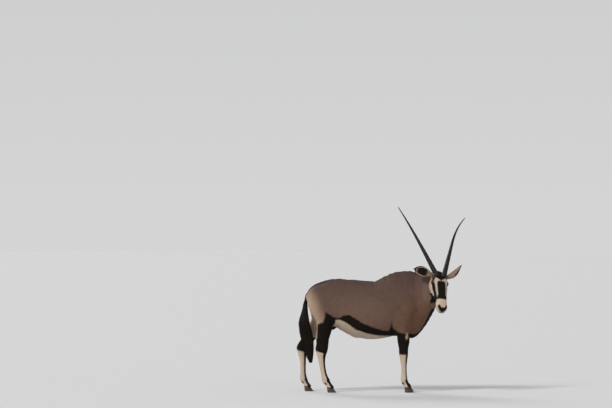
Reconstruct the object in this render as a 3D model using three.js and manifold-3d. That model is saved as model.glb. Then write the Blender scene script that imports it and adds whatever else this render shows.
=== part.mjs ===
// A standing gemsbok bull, life size, with its head turned to its right.
// Millimetres, +Z up. The animal faces +X and its left side is +Y. The floor is z = 0.
// The flesh is one smooth implicit body, made of lofts and ellipsoids that blend into each other. It is
// sampled on a grid for each part, turned into a closed mesh, and parted by thin plane cuts.
import * as THREE from "three";
import { mergeVertices } from "three/addons/utils/BufferGeometryUtils.js";
import Module from "manifold-3d";

const wasm = await Module();
wasm.setup();

// Driving dimensions
const GAP = 0.5; // between neighbouring parts
const FRAME_SHIFT = { x: -169.5, y: 43.5 }; // puts the middle of the whole box over the origin

// Pose of the head. Its own frame starts on the forehead line over the back of the skull: x runs down
// the face to the muzzle, y to the animal's left, and z out of the forehead.
const HEAD = {
  origin: [737, -247, 1214],
  turn: -71.5, // about the vertical, from straight ahead towards the right side
  pitch: 60, // nose below the horizon
  roll: 7.3, // left ear lower
};

const HORN = {
  length: 880,
  baseRadius: 26.5,
  tipRadius: 3.5,
  rings: 9,
  ringHeight: 1.6,
  ringedShare: 0.62, // of the length, from the root
  back: 7, // leans this many degrees back from the line of the face, and 4 more at its tip
};
const HORN_ROOT = { x: 62, y: 37, z: -16 };
// How far each horn leans out to its side, in degrees: up to its middle, and at its tip.
const HORN_SPREAD = { right: [19, 23], left: [19, 40] };

const EYE = { radius: 20.5, x: 130, y: 69, z: -42 };

const EAR = { length: 200, thickness: 3.2 };
const EAR_ROOT = { x: 46, y: 68, z: -42 };

// Sections. A trunk row is [x, top, widest level, bottom, half width].
const TRUNK = [
  [-545, 966, 934, 892, 27],
  [-515, 1012, 948, 864, 75],
  [-468, 1058, 950, 828, 117],
  [-400, 1098, 928, 780, 159],
  [-310, 1138, 885, 695, 186],
  [-200, 1123, 820, 626, 204],
  [-90, 1109, 790, 556, 220],
  [40, 1099, 778, 520, 232],
  [150, 1099, 780, 528, 226],
  [250, 1139, 795, 548, 204],
  [350, 1190, 810, 546, 178],
  [440, 1178, 802, 530, 148],
  [510, 1050, 792, 532, 110],
  [566, 930, 776, 576, 66],
];

// A limb or neck row is [x, y, z, half width, front or top half depth, rear or bottom half depth].
const NECK = [
  [300, 0, 850, 150, 284, 290],
  [410, 0, 905, 140, 272, 322],
  [520, -25, 962, 122, 222, 262],
  [612, -80, 1020, 100, 162, 190],
  [668, -142, 1066, 86, 118, 138],
  [702, -196, 1092, 76, 88, 104],
];

const HEAD_ROWS = [
  [8, -42, -78, -118, 48],
  [40, -18, -70, -150, 66],
  [80, -4, -60, -176, 75],
  [125, 2, -54, -186, 80],
  [165, 1, -54, -180, 76],
  [215, -2, -56, -158, 70],
  [265, -5, -52, -136, 62],
  [315, -7, -50, -118, 56],
  [360, -9, -48, -110, 55],
  [398, -18, -52, -104, 54],
  [424, -38, -62, -92, 42],
];

// Right legs are the near ones. y is given for the left side and mirrored for the right.
const HIND_NEAR = [
  [-440, 88, 965, 76, 112, 122],
  [-436, 112, 880, 92, 140, 134],
  [-424, 122, 800, 90, 130, 104],
  [-398, 128, 720, 76, 100, 88],
  [-398, 128, 640, 60, 78, 80],
  [-418, 124, 550, 43, 68, 70],
  [-422, 119, 480, 32, 62, 62],
  [-428, 117, 425, 34, 60, 64],
  [-430, 117, 378, 30, 48, 52],
  [-427, 117, 325, 24, 35, 38],
  [-420, 118, 260, 21, 29, 32],
  [-407, 119, 190, 21, 28, 32],
  [-395, 120, 146, 25, 32, 37],
  [-382, 120, 114, 31, 35, 40],
  [-359, 121, 78, 27, 28, 29],
  [-342, 122, 46, 37, 35, 38],
];
const HIND_FAR = [
  [-452, 90, 960, 80, 112, 110],
  [-450, 112, 880, 92, 140, 112],
  [-446, 122, 800, 90, 128, 100],
  [-446, 128, 720, 76, 98, 88],
  [-484, 128, 640, 60, 78, 76],
  [-546, 124, 550, 43, 66, 60],
  [-594, 119, 480, 32, 54, 54],
  [-616, 117, 428, 34, 54, 62],
  [-618, 117, 378, 30, 46, 48],
  [-614, 117, 325, 24, 33, 36],
  [-612, 118, 260, 21, 28, 30],
  [-611, 119, 190, 21, 27, 30],
  [-609, 120, 146, 25, 31, 36],
  [-602, 120, 114, 31, 34, 39],
  [-583, 121, 78, 27, 28, 29],
  [-567, 122, 46, 37, 35, 38],
];
const FORE = [
  [402, 112, 830, 60, 88, 96],
  [368, 126, 730, 62, 92, 96],
  [358, 128, 640, 54, 82, 78],
  [374, 126, 571, 44, 66, 64],
  [379, 124, 500, 37, 61, 60],
  [380, 121, 430, 32, 47, 48],
  [381, 119, 372, 37, 44, 46],
  [382, 118, 322, 29, 36, 38],
  [384, 117, 260, 23, 28, 30],
  [387, 116, 190, 22, 26, 30],
  [388, 116, 148, 25, 29, 34],
  [390, 116, 114, 30, 32, 37],
  [406, 117, 78, 27, 27, 28],
  [424, 118, 46, 37, 34, 37],
];
const FORE_FAR_AHEAD = 6; // the left foreleg stands this far in front of the right one
const FORE_FAR = FORE.map(([x, ...rest]) => [x + FORE_FAR_AHEAD, ...rest]);

// Muscles under the skin of the shoulder, as limb rows for the left side.
const SHOULDER_BLADE = [
  [300, 62, 1128, 24, 40, 44],
  [362, 112, 960, 44, 74, 76],
  [440, 118, 820, 46, 70, 70],
];
const TRICEPS = [
  [318, 124, 850, 40, 60, 52],
  [312, 140, 740, 44, 70, 60],
  [306, 134, 652, 34, 52, 34],
];

const SHEATH = [
  [-238, 0, 664, 18, 18, 20],
  [-165, 0, 611, 21, 20, 24],
  [-104, 0, 570, 24, 20, 27],
  [-76, 0, 560, 20, 18, 24],
];
const TAIL_DOCK = [
  [-500, 0, 1010, 27, 27, 27],
  [-546, 0, 968, 24, 24, 24],
  [-580, 0, 912, 20, 21, 21],
  [-600, 0, 850, 18, 19, 19],
  [-608, 0, 784, 17, 18, 18],
];
const TAIL_TUFT = [
  [-608, 0, 782, 17, 18, 18],
  [-610, 0, 735, 34, 44, 34],
  [-604, 0, 655, 48, 58, 48],
  [-586, 0, 560, 50, 62, 50],
  [-568, 0, 460, 44, 56, 44],
  [-553, 0, 370, 30, 38, 30],
  [-538, 0, 290, 11, 13, 11],
];

const HOOF = { length: 88, width: 34, height: 46, heel: 27, rings: 2, around: 12 };
const DEWCLAW = { radius: 11, length: 17, above: 92, behind: 42, apart: 16 };

// Small vector helpers on plain arrays
const add = (a, b) => a.map((v, i) => v + b[i]);
const sub = (a, b) => a.map((v, i) => v - b[i]);
const scale = (a, k) => a.map((v) => v * k);
const dot = (a, b) => a[0] * b[0] + a[1] * b[1] + a[2] * b[2];
const cross = (a, b) => [
  a[1] * b[2] - a[2] * b[1],
  a[2] * b[0] - a[0] * b[2],
  a[0] * b[1] - a[1] * b[0],
];
const unit = (a) => scale(a, 1 / Math.hypot(...a));
const mix = (a, b, t) => a + (b - a) * t;
const radians = THREE.MathUtils.degToRad;

// Rows between the given ones, on a smooth curve through them.
function refine(rows, steps) {
  const fine = [];
  for (let i = 0; i < rows.length - 1; i++) {
    const [a, b] = [rows[i], rows[i + 1]];
    const before = rows[i - 1] ?? a;
    const after = rows[i + 2] ?? b;
    for (let s = 0; s < steps; s++) {
      const t = s / steps;
      fine.push(
        a.map((v, k) => {
          const m0 = (b[k] - before[k]) / 2;
          const m1 = (after[k] - v) / 2;
          return (
            (2 * t ** 3 - 3 * t ** 2 + 1) * v +
            (t ** 3 - 2 * t ** 2 + t) * m0 +
            (3 * t ** 2 - 2 * t ** 3) * b[k] +
            (t ** 3 - t ** 2) * m1
          );
        }),
      );
    }
  }
  fine.push(rows.at(-1));
  return fine;
}

const FAR = 150; // beyond this a rough distance will do

// A loft is a chain of short cones with egg-shaped sections, rounded at both ends.
function loft(rows, { steps = 3, powerUp = 2, powerDown = 2, side = null } = {}) {
  const fine = refine(rows, steps);
  const segments = [];
  for (let i = 0; i < fine.length - 1; i++) {
    const [a, b] = [fine[i], fine[i + 1]];
    const along = sub(b.slice(0, 3), a.slice(0, 3));
    const length = Math.hypot(...along);
    const t = scale(along, 1 / length);
    const flat = side ?? cross([0, 0, 1], t);
    const s = unit(sub(flat, scale(t, dot(flat, t))));
    segments.push({ a, b, t, s, u: cross(t, s), length });
  }
  const room = fine.map(([x, y, z, ...reach]) => [[x, y, z], Math.max(...reach)]);
  return (p) => {
    const far = Math.min(...room.map(([c, r]) => Math.hypot(p[0] - c[0], p[1] - c[1], p[2] - c[2]) - r));
    if (far > FAR) return far;
    let nearest = Infinity;
    for (const { a, b, t, s, u, length } of segments) {
      const q = [p[0] - a[0], p[1] - a[1], p[2] - a[2]];
      const along = dot(q, t);
      const k = Math.min(Math.max(along / length, 0), 1);
      const past = along - k * length;
      const qs = dot(q, s);
      const qu = dot(q, u);
      const wide = mix(a[3], b[3], k);
      const deep = qu > 0 ? mix(a[4], b[4], k) : mix(a[5], b[5], k);
      const power = qu > 0 ? powerUp : powerDown;
      const across = ((Math.abs(qs) / wide) ** power + (Math.abs(qu) / deep) ** power) ** (1 / power);
      const rho = Math.hypot(across, past / Math.min(wide, deep));
      const reach = Math.hypot(qs, qu, past);
      const d = rho > 1e-6 ? reach - reach / rho : -Math.min(wide, deep);
      if (d < nearest) nearest = d;
    }
    return nearest;
  };
}

// An ellipsoid with its axes along x, y and z.
function blob(centre, radii) {
  return (p) => {
    const q = sub(p, centre);
    const rho = Math.hypot(q[0] / radii[0], q[1] / radii[1], q[2] / radii[2]);
    const reach = Math.hypot(...q);
    return rho > 1e-6 ? reach - reach / rho : -Math.min(...radii);
  };
}

// The same shape on both sides of the middle plane.
const bothSides = (shape) => (p) => shape([p[0], Math.abs(p[1]), p[2]]);
const mirrored = (shape) => (p) => shape([p[0], -p[1], p[2]]);

// Joins shapes with a fillet of about the size k.
function blend(a, b, k) {
  const h = Math.max(k - Math.abs(a - b), 0) / k;
  return Math.min(a, b) - (h * h * k) / 4;
}

const trunkRow = ([x, top, widest, bottom, half]) => [x, 0, widest, half, top - widest, widest - bottom];
const SIDEWAYS = [0, 1, 0];

// The head's own axes in the part's frame
const headTurn = radians(HEAD.turn);
const headPitch = radians(HEAD.pitch);
const facing = [Math.cos(headTurn), Math.sin(headTurn), 0];
const levelLeft = [-facing[1], facing[0], 0];
const headLeft = add(scale(levelLeft, Math.cos(radians(HEAD.roll))), [0, 0, -Math.sin(radians(HEAD.roll))]);
const headUp = cross(facing, headLeft);
const downFace = add(scale(facing, Math.cos(headPitch)), scale(headUp, -Math.sin(headPitch)));
const outOfFace = cross(downFace, headLeft);
const toHead = (p) => {
  const q = sub(p, HEAD.origin);
  return [dot(q, downFace), dot(q, headLeft), dot(q, outOfFace)];
};
const fromHead = ([x, y, z]) =>
  add(HEAD.origin, add(scale(downFace, x), add(scale(headLeft, y), scale(outOfFace, z))));

// The head in its own frame: the skull and jaws, with the brows, cheeks, horn roots, lips and chin on it.
function headShape() {
  const skull = loft(HEAD_ROWS.map(trunkRow), { powerUp: 2.5, powerDown: 1.9, side: SIDEWAYS });
  const lumps = [
    [blob([126, 60, -38], [38, 20, 26]), 14], // brow and eye socket
    [blob([180, 58, -68], [54, 17, 18]), 18], // ridge under the eye
    [blob([142, 46, -112], [62, 28, 54]), 24], // cheek muscle
    [blob([64, 37, -20], [34, 28, 26]), 14], // horn root
    [blob([48, 62, -48], [28, 24, 28]), 16], // ear root
    [blob([394, 24, -52], [34, 30, 34]), 14], // nostril and upper lip
    [blob([392, 0, -94], [36, 28, 20]), 12], // chin
  ].map(([shape, k]) => [bothSides(shape), k]);
  return (p) => lumps.reduce((d, [shape, k]) => blend(d, shape(p), k), skull(p));
}

// All of the flesh but the ears and the tail, as distances from the surface.
function fleshShape() {
  const limb = (rows) => loft(rows, { side: SIDEWAYS, powerUp: 2.1, powerDown: 2.1 });
  const lumps = [
    [loft(NECK, { powerUp: 1.9 }), 46],
    [bothSides(limb(SHOULDER_BLADE)), 40],
    [bothSides(limb(TRICEPS)), 30],
    [mirrored(limb(HIND_NEAR)), 50],
    [limb(HIND_FAR), 50],
    [mirrored(limb(FORE)), 30],
    [limb(FORE_FAR), 30],
    [blob([-318, 0, 672], [42, 34, 62]), 34], // scrotum
    [limb(SHEATH), 26],
  ];
  const trunk = loft(TRUNK.map(trunkRow), { side: SIDEWAYS, powerUp: 2, powerDown: 2.3 });
  const head = headShape();
  return (p) => {
    const body = lumps.reduce((d, [shape, k]) => blend(d, shape(p), k), trunk(p));
    return blend(body, head(toHead(p)), 26);
  };
}

// A closed mesh of the places where the shape's distance is under `level`, within a box of cells.
// Each cell that the surface crosses gets one vertex, at the mean of the crossings on its edges.
function meshOf(shape, { low, high, cell, level = 0 }) {
  const count = low.map((v, i) => Math.ceil((high[i] - v) / cell[i]) + 2);
  const [nx, ny, nz] = count;
  const at = (...cellIndex) => cellIndex.map((n, m) => low[m] + (n - 0.5) * cell[m]);
  const index = (i, j, k) => (k * ny + j) * nx + i;
  const value = new Float64Array(nx * ny * nz);
  for (let k = 0; k < nz; k++)
    for (let j = 0; j < ny; j++)
      for (let i = 0; i < nx; i++) {
        const edge = i === 0 || j === 0 || k === 0 || i === nx - 1 || j === ny - 1 || k === nz - 1;
        const d = shape(at(i, j, k)) - level;
        value[index(i, j, k)] = edge ? Math.max(d, 1) : d;
      }
  const vertices = [];
  const vertexOf = new Map();
  const corners = [0, 1, 2, 3, 4, 5, 6, 7].map((c) => [c & 1, (c >> 1) & 1, c >> 2]);
  for (let k = 0; k < nz - 1; k++)
    for (let j = 0; j < ny - 1; j++)
      for (let i = 0; i < nx - 1; i++) {
        const values = corners.map(([a, b, c]) => value[index(i + a, j + b, k + c)]);
        const inside = values.filter((v) => v < 0).length;
        if (inside === 0 || inside === 8) continue;
        const sum = [0, 0, 0];
        let crossings = 0;
        for (let c = 0; c < 8; c++)
          for (const bit of [1, 2, 4]) {
            const e = c | bit;
            if (e === c || values[c] < 0 === values[e] < 0) continue;
            const t = values[c] / (values[c] - values[e]);
            for (let m = 0; m < 3; m++) sum[m] += mix(corners[c][m], corners[e][m], t);
            crossings++;
          }
        const origin = at(i, j, k);
        vertexOf.set(index(i, j, k), vertices.length / 3);
        for (let m = 0; m < 3; m++) vertices.push(origin[m] + (sum[m] / crossings) * cell[m]);
      }
  const triangles = [];
  const steps = [
    [1, 0, 0],
    [0, 1, 0],
    [0, 0, 1],
  ];
  for (let k = 0; k < nz - 1; k++)
    for (let j = 0; j < ny - 1; j++)
      for (let i = 0; i < nx - 1; i++)
        for (let m = 0; m < 3; m++) {
          const [di, dj, dk] = steps[m];
          const here = value[index(i, j, k)] < 0;
          if (here === value[index(i + di, j + dj, k + dk)] < 0) continue;
          const [b, c] = [steps[(m + 1) % 3], steps[(m + 2) % 3]];
          const ring = [
            [0, 0],
            [1, 0],
            [1, 1],
            [0, 1],
          ].map(([p, q]) =>
            vertexOf.get(index(i - p * b[0] - q * c[0], j - p * b[1] - q * c[1], k - p * b[2] - q * c[2])),
          );
          if (!here) ring.reverse();
          triangles.push(ring[0], ring[1], ring[2], ring[0], ring[2], ring[3]);
        }
  return solid(new Float32Array(vertices), new Uint32Array(triangles));
}

// Solids and plane cuts
function solid(vertProperties, triVerts) {
  return new wasm.Manifold(new wasm.Mesh({ numProp: 3, vertProperties, triVerts }));
}

function solidFrom(geometry) {
  const bare = geometry.clone();
  for (const name of Object.keys(bare.attributes)) if (name !== "position") bare.deleteAttribute(name);
  const merged = mergeVertices(bare, 1e-3);
  return solid(new Float32Array(merged.attributes.position.array), new Uint32Array(merged.index.array));
}

const HUGE = 3000;
// Everything behind a plane: the side that its normal points away from.
function behind(point, normal, pulledBack = 0) {
  const block = new THREE.BoxGeometry(HUGE, HUGE, HUGE);
  const n = new THREE.Vector3(...unit(normal));
  block.applyQuaternion(new THREE.Quaternion().setFromUnitVectors(new THREE.Vector3(0, 0, 1), n));
  const centre = new THREE.Vector3(...point).addScaledVector(n, -HUGE / 2 - pulledBack);
  return solidFrom(block.translate(centre.x, centre.y, centre.z));
}
const inFront = (point, normal, pulledBack = 0) => behind(point, scale(normal, -1), pulledBack);

// The block of space between two corners, grown by `more` on every side.
function between(low, high, more = 0) {
  const size = high.map((v, i) => v - low[i] + 2 * more);
  const centre = high.map((v, i) => (v + low[i]) / 2);
  return solidFrom(new THREE.BoxGeometry(...size).translate(...centre));
}

// A closed tube through rows of [x, y, z, half width, front half depth, rear half depth], with `more`
// added on every side.
function sweep(rows, around, side = SIDEWAYS, more = 0) {
  const points = [];
  const centres = rows.map((row) => row.slice(0, 3));
  const push = (end, next) => add(end, scale(unit(sub(end, next)), more));
  const [start, finish] = [push(centres[0], centres[1]), push(centres.at(-1), centres.at(-2))];
  centres[0] = start;
  centres[centres.length - 1] = finish;
  rows.forEach(([, , , wide, fore, aft], i) => {
    const [p, q] = [centres[Math.max(i - 1, 0)], centres[Math.min(i + 1, rows.length - 1)]];
    const t = unit(sub(q, p));
    const s = unit(sub(side, scale(t, dot(side, t))));
    const u = cross(t, s);
    for (let k = 0; k < around; k++) {
      const angle = (2 * Math.PI * k) / around;
      const [c, n] = [Math.cos(angle), Math.sin(angle)];
      const deep = (n > 0 ? fore : aft) + more;
      points.push(...add(centres[i], add(scale(s, (wide + more) * c), scale(u, deep * n))));
    }
  });
  const first = points.length / 3;
  points.push(...centres[0], ...centres.at(-1));
  const faces = [];
  for (let k = 0; k < around; k++) {
    const next = (k + 1) % around;
    faces.push(first, next, k);
    const top = (rows.length - 1) * around;
    faces.push(first + 1, top + k, top + next);
    for (let i = 0; i < rows.length - 1; i++) {
      const [a, b] = [i * around, (i + 1) * around];
      faces.push(a + k, a + next, b + next, a + k, b + next, b + k);
    }
  }
  return solid(new Float32Array(points), new Uint32Array(faces));
}

const largest = (shape) => shape.decompose().sort((a, b) => b.volume() - a.volume())[0];

// Horns: a tapering rod that leans back from the face and curves out to its side, with rings on the
// lower part.
function hornRows(side, [rootSpread, tipSpread]) {
  const rowCount = 2 * HORN.rings;
  const rows = [];
  let at = [HORN_ROOT.x, side * HORN_ROOT.y, HORN_ROOT.z];
  for (let i = 0; i <= rowCount; i++) {
    const s = i / rowCount;
    const spread = radians(mix(rootSpread, tipSpread, Math.max(0, 2 * s - 1) ** 1.3));
    const back = radians(HORN.back + 4 * s);
    const upright = Math.cos(spread);
    const along = [-Math.cos(back) * upright, side * Math.sin(spread), -Math.sin(back) * upright];
    const ring = s < HORN.ringedShare && i % 2 ? HORN.ringHeight : 0;
    const radius = mix(HORN.baseRadius, HORN.tipRadius, s ** 0.9) + ring;
    rows.push([...fromHead(at), radius, radius, radius]);
    at = add(at, scale(along, HORN.length / rowCount));
  }
  return rows;
}
function horn(side, spread, more = 0) {
  return sweep(hornRows(side, spread), 8, headLeft, more);
}

// Ears: a leaf rolled to a tube at its root, a wide cup in the middle and flat at its tip. Each row is
// the share of the length, the radius of the cup and the half angle that it wraps.
const EAR_CUP = [
  [0, 18, 158],
  [0.14, 25, 138],
  [0.32, 42, 106],
  [0.52, 51, 84],
  [0.72, 49, 66],
  [0.88, 39, 46],
  [1, 24, 14],
];
// Where each ear points and where its cup opens, in the part's frame.
const EAR_POSE = {
  right: { along: [-0.88, 0.3, 0.3], opens: [-0.1, -0.92, 0.04] },
  left: { along: [0.8, 0.12, 0.58], opens: [0.58, 0.06, -0.8] },
};
function ear({ along, opens }, root, more = 0) {
  const l = unit(along);
  const n = unit(sub(opens, scale(l, dot(opens, l))));
  const w = cross(n, l);
  const around = 6;
  const points = [];
  const ringSize = 2 * (around + 1);
  for (const [share, radius, wrap] of EAR_CUP)
    for (const skin of [1, -1])
      for (let k = 0; k <= around; k++) {
        const angle = (radians(wrap) + more / radius) * (1 - (2 * k) / around) * skin;
        const r = radius + skin * (EAR.thickness * mix(1, 0.7, share) + more);
        const across = add(scale(w, r * Math.sin(angle)), scale(n, radius - r * Math.cos(angle)));
        points.push(...add(root, add(scale(l, share * EAR.length + (2 * share - 1) * more), across)));
      }
  const faces = [];
  for (let i = 0; i < EAR_CUP.length - 1; i++)
    for (let k = 0; k < ringSize; k++) {
      const next = (k + 1) % ringSize;
      const [a, b] = [i * ringSize, (i + 1) * ringSize];
      faces.push(a + k, a + next, b + next, a + k, b + next, b + k);
    }
  const last = (EAR_CUP.length - 1) * ringSize;
  for (let k = 0; k < around; k++) {
    const [p, q] = [ringSize - 1 - k, ringSize - 2 - k];
    faces.push(k, p, q, k, q, k + 1);
    faces.push(last + k, last + q, last + p, last + k, last + k + 1, last + q);
  }
  const made = solid(new Float32Array(points), new Uint32Array(faces));
  return made.volume() < 0 ? solid(new Float32Array(points), new Uint32Array(faces.reverse())) : made;
}

// Hooves: each claw is a wedge with a flat sole, a straight inner wall and a curved outer wall.
function claw(x, y, outward) {
  const points = [];
  for (let i = 0; i < HOOF.rings; i++) {
    const up = i / (HOOF.rings - 1);
    for (let k = 0; k < HOOF.around; k++) {
      const angle = (2 * Math.PI * k) / HOOF.around;
      const [c, n] = [Math.cos(angle), Math.sin(angle)];
      const toe = c > 0 ? HOOF.length * mix(0.62, 0.3, up) : HOOF.length * mix(0.38, 0.36, up);
      const narrow = 1 - 0.5 * Math.max(c, 0) ** 2;
      const width = n * outward > 0 ? HOOF.width * mix(0.62, 0.5, up) : HOOF.width * 0.38;
      const height = mix(HOOF.heel, HOOF.height, (c + 1) / 2);
      points.push(x + c * toe - 6 * up, y + n * width * narrow, up * height);
    }
  }
  const last = (HOOF.rings - 1) * HOOF.around;
  points.push(x, y, 0, x - 6, y, (HOOF.heel + HOOF.height) / 2);
  const [sole, top] = [HOOF.rings * HOOF.around, HOOF.rings * HOOF.around + 1];
  const faces = [];
  for (let k = 0; k < HOOF.around; k++) {
    const next = (k + 1) % HOOF.around;
    faces.push(sole, next, k, top, last + k, last + next);
    for (let i = 0; i < HOOF.rings - 1; i++) {
      const [a, b] = [i * HOOF.around, (i + 1) * HOOF.around];
      faces.push(a + k, a + next, b + next, a + k, b + next, b + k);
    }
  }
  return solid(new Float32Array(points), new Uint32Array(faces));
}

function dewclaw(x, y, side, more = 0) {
  const [length, radius] = [DEWCLAW.length + more, DEWCLAW.radius + more];
  const shape = new THREE.SphereGeometry(1, 6, 3).scale(length, radius, radius).rotateY(radians(35));
  return solidFrom(shape.translate(x - DEWCLAW.behind, y + side * DEWCLAW.apart, DEWCLAW.above));
}

// Materials
const material = (color, roughness) => new THREE.MeshStandardMaterial({ color, roughness, metalness: 0 });
const COAT = material(0x8d7668, 0.85);
const DARK = material(0x1d1613, 0.8);
const PALE = material(0xd8ccbd, 0.85);
const KERATIN = material(0x2a2320, 0.5);
const EYE_GLOSS = material(0x140d09, 0.12);

// Cuts leave some corners a hair apart. They are set on a fine grid, and the slivers between them are
// taken out.
const WELD = 0.01;
function welded({ vertProperties, triVerts }) {
  const bare = new THREE.BufferGeometry();
  const snapped = Array.from(vertProperties, (v) => Math.round(v / WELD) * WELD);
  bare.setAttribute("position", new THREE.BufferAttribute(new Float32Array(snapped), 3));
  bare.setIndex(new THREE.BufferAttribute(new Uint32Array(triVerts), 1));
  const merged = mergeVertices(bare, WELD / 4);
  const kept = new Map();
  const index = merged.index.array;
  for (let i = 0; i < index.length; i += 3) {
    const [a, b, c] = index.slice(i, i + 3);
    if (a === b || b === c || c === a) continue;
    const key = [a, b, c].sort((p, q) => p - q).join();
    if (kept.has(key)) kept.delete(key);
    else kept.set(key, [a, b, c]);
  }
  merged.setIndex([...kept.values()].flat());
  return merged;
}

const gemsbok = new THREE.Group();
gemsbok.position.set(FRAME_SHIFT.x, FRAME_SHIFT.y, 0);
function addNode(name, shape, looks) {
  const geometry = welded(largest(shape).getMesh());
  geometry.computeVertexNormals();
  const node = new THREE.Mesh(geometry, looks);
  node.name = name;
  gemsbok.add(node);
}

// Where the flesh is parted
const flesh = fleshShape();
const NECK_CUT = { point: [505, 0, 900], normal: [0.87, 0, 0.49] };
const HEAD_CUT = { point: scale(facing, 356), normal: facing };
// A fore leg is parted from the trunk at its elbow and again under its knee, a hind leg at its stifle and
// under its hock. Its room runs from back to front in x and from inside to outside in y.
const FORE_JOINTS = { split: 318, top: 620 };
const HIND_JOINTS = { split: 372, top: 668 };
const legs = [
  { name: "foreleg_right", side: -1, rows: FORE, from: [296, 62], to: [456, 240], ...FORE_JOINTS },
  { name: "foreleg_left", side: 1, rows: FORE_FAR, from: [302, 62], to: [462, 240], ...FORE_JOINTS },
  { name: "hindleg_right", side: -1, rows: HIND_NEAR, from: [-530, 34], to: [-270, 260], ...HIND_JOINTS },
  { name: "hindleg_left", side: 1, rows: HIND_FAR, from: [-720, 34], to: [-320, 260], ...HIND_JOINTS },
];
const BELOW_FLOOR = -10;
const cornersOf = ({ from, to, top, side }) => [
  [from[0], Math.min(side * from[1], side * to[1]), BELOW_FLOOR],
  [to[0], Math.max(side * from[1], side * to[1]), top],
];
// The room that a leg takes: a block whose top slopes down towards the middle plane.
function legRoom(leg, more = 0) {
  const top = [0, leg.side * 125, leg.top - 30];
  return between(...cornersOf(leg), more).intersect(behind(top, [0, -0.55 * leg.side, 1], -more));
}

// The trunk, neck and head
let trunk = meshOf(flesh, {
  low: [-640, -265, 470],
  high: [720, 265, 1240],
  cell: [60, 52, 54],
  level: 3,
});
trunk = trunk.intersect(behind(NECK_CUT.point, NECK_CUT.normal, GAP));
for (const leg of legs) trunk = trunk.subtract(legRoom(leg, GAP));
addNode("trunk", trunk.subtract(sweep(TAIL_DOCK, 10, SIDEWAYS, GAP)), COAT);

let neck = meshOf(flesh, {
  low: [340, -336, 514],
  high: [830, 180, 1240],
  cell: [46, 44, 48],
  level: 2,
});
neck = neck.intersect(inFront(NECK_CUT.point, NECK_CUT.normal));
addNode("neck", neck.intersect(behind(HEAD_CUT.point, HEAD_CUT.normal, GAP)), COAT);

const eye = (side, more = 0) => {
  const centre = fromHead([EYE.x, side * EYE.y, EYE.z]);
  return solidFrom(new THREE.SphereGeometry(EYE.radius + more, 10, 7).translate(...centre));
};
const earOf = (name, side, more = 0) => {
  return ear(EAR_POSE[name], fromHead([EAR_ROOT.x, side * EAR_ROOT.y, EAR_ROOT.z]), more);
};
let head = meshOf(flesh, {
  low: [600, -560, 770],
  high: [860, -80, 1240],
  cell: [21, 21, 22],
  level: 1,
});
head = head.intersect(inFront(HEAD_CUT.point, HEAD_CUT.normal));
for (const [name, side] of [
  ["right", -1],
  ["left", 1],
]) {
  const hornRoom = horn(side, HORN_SPREAD[name], GAP);
  addNode(`eye_${name}`, eye(side), EYE_GLOSS);
  addNode(`horn_${name}`, horn(side, HORN_SPREAD[name]), KERATIN);
  addNode(`ear_${name}`, earOf(name, side).subtract(hornRoom), PALE);
  head = head.subtract(eye(side, GAP)).subtract(hornRoom).subtract(earOf(name, side, GAP));
}
addNode("head", head, COAT);

// The legs, in an upper and a lower length each, with two claws and two dewclaws on each foot
for (const leg of legs) {
  const [low, high] = cornersOf(leg);
  const splitAt = [0, 0, leg.split];
  const upper = meshOf(flesh, {
    low: [low[0] - 20, low[1] - 20, leg.split - 90],
    high: [high[0] + 20, high[1] + 20, high[2] + 60],
    cell: [30, 25, 58],
    level: 3,
  });
  addNode(`${leg.name}_upper`, upper.intersect(legRoom(leg)).intersect(inFront(splitAt, [0, 0, 1])), DARK);

  const [footX, footY] = [leg.rows.at(-1)[0] + 4, leg.side * leg.rows.at(-1)[1]];
  const coronet = [footX, 0, 39];
  const slope = [-0.22, 0, 1]; // the foot ends on a plane that slopes back over the hooves
  const cannon = leg.rows.filter((row) => row[2] < leg.split + 70);
  const shank = cannon.map(([x, y, ...rest]) => [x, leg.side * y, ...rest]);
  const foot = [shank.at(-1)[0] + 6, footY, 24, 36, 33, 35];
  let lower = sweep([...shank, foot], 10);
  lower = lower.intersect(behind(splitAt, [0, 0, 1], GAP)).intersect(inFront(coronet, slope));
  for (const which of ["outer", "inner"]) {
    const outward = which === "outer" ? leg.side : -leg.side;
    const hoof = claw(footX, footY + outward * (HOOF.width * 0.38 + 1.2), outward);
    addNode(`hoof_${leg.name}_${which}`, hoof.intersect(behind(coronet, slope, GAP)), KERATIN);
    addNode(`dewclaw_${leg.name}_${which}`, dewclaw(footX - 12, footY, outward), KERATIN);
    lower = lower.subtract(dewclaw(footX - 12, footY, outward, GAP));
  }
  addNode(`${leg.name}_lower`, lower, PALE);
}

// The tail
addNode("tail", sweep(TAIL_DOCK, 10), COAT);
const tuftTop = [0, 0, TAIL_TUFT[0][2]];
addNode("tail_tuft", sweep(TAIL_TUFT, 12).intersect(behind(tuftTop, [0, 0, 1], GAP)), DARK);

export default gemsbok;
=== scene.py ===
import itertools
import math

import bpy
import mathutils
import numpy as np
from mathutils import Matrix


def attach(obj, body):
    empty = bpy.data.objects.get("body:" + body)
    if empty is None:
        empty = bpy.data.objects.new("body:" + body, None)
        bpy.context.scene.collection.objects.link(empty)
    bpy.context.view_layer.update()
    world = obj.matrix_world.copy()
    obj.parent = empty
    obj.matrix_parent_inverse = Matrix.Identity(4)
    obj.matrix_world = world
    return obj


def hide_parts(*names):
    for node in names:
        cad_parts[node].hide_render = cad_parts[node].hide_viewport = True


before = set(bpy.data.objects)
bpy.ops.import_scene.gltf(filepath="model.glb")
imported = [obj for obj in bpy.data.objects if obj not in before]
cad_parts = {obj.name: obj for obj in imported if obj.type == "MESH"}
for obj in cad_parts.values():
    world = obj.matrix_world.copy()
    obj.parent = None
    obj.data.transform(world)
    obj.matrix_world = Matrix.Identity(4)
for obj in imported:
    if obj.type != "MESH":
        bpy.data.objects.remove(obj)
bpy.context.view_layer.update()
SEED = 4921
FRAME_SHIFT = np.array([-169.5, 43.5, 0.0])
MM = 0.001

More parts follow.
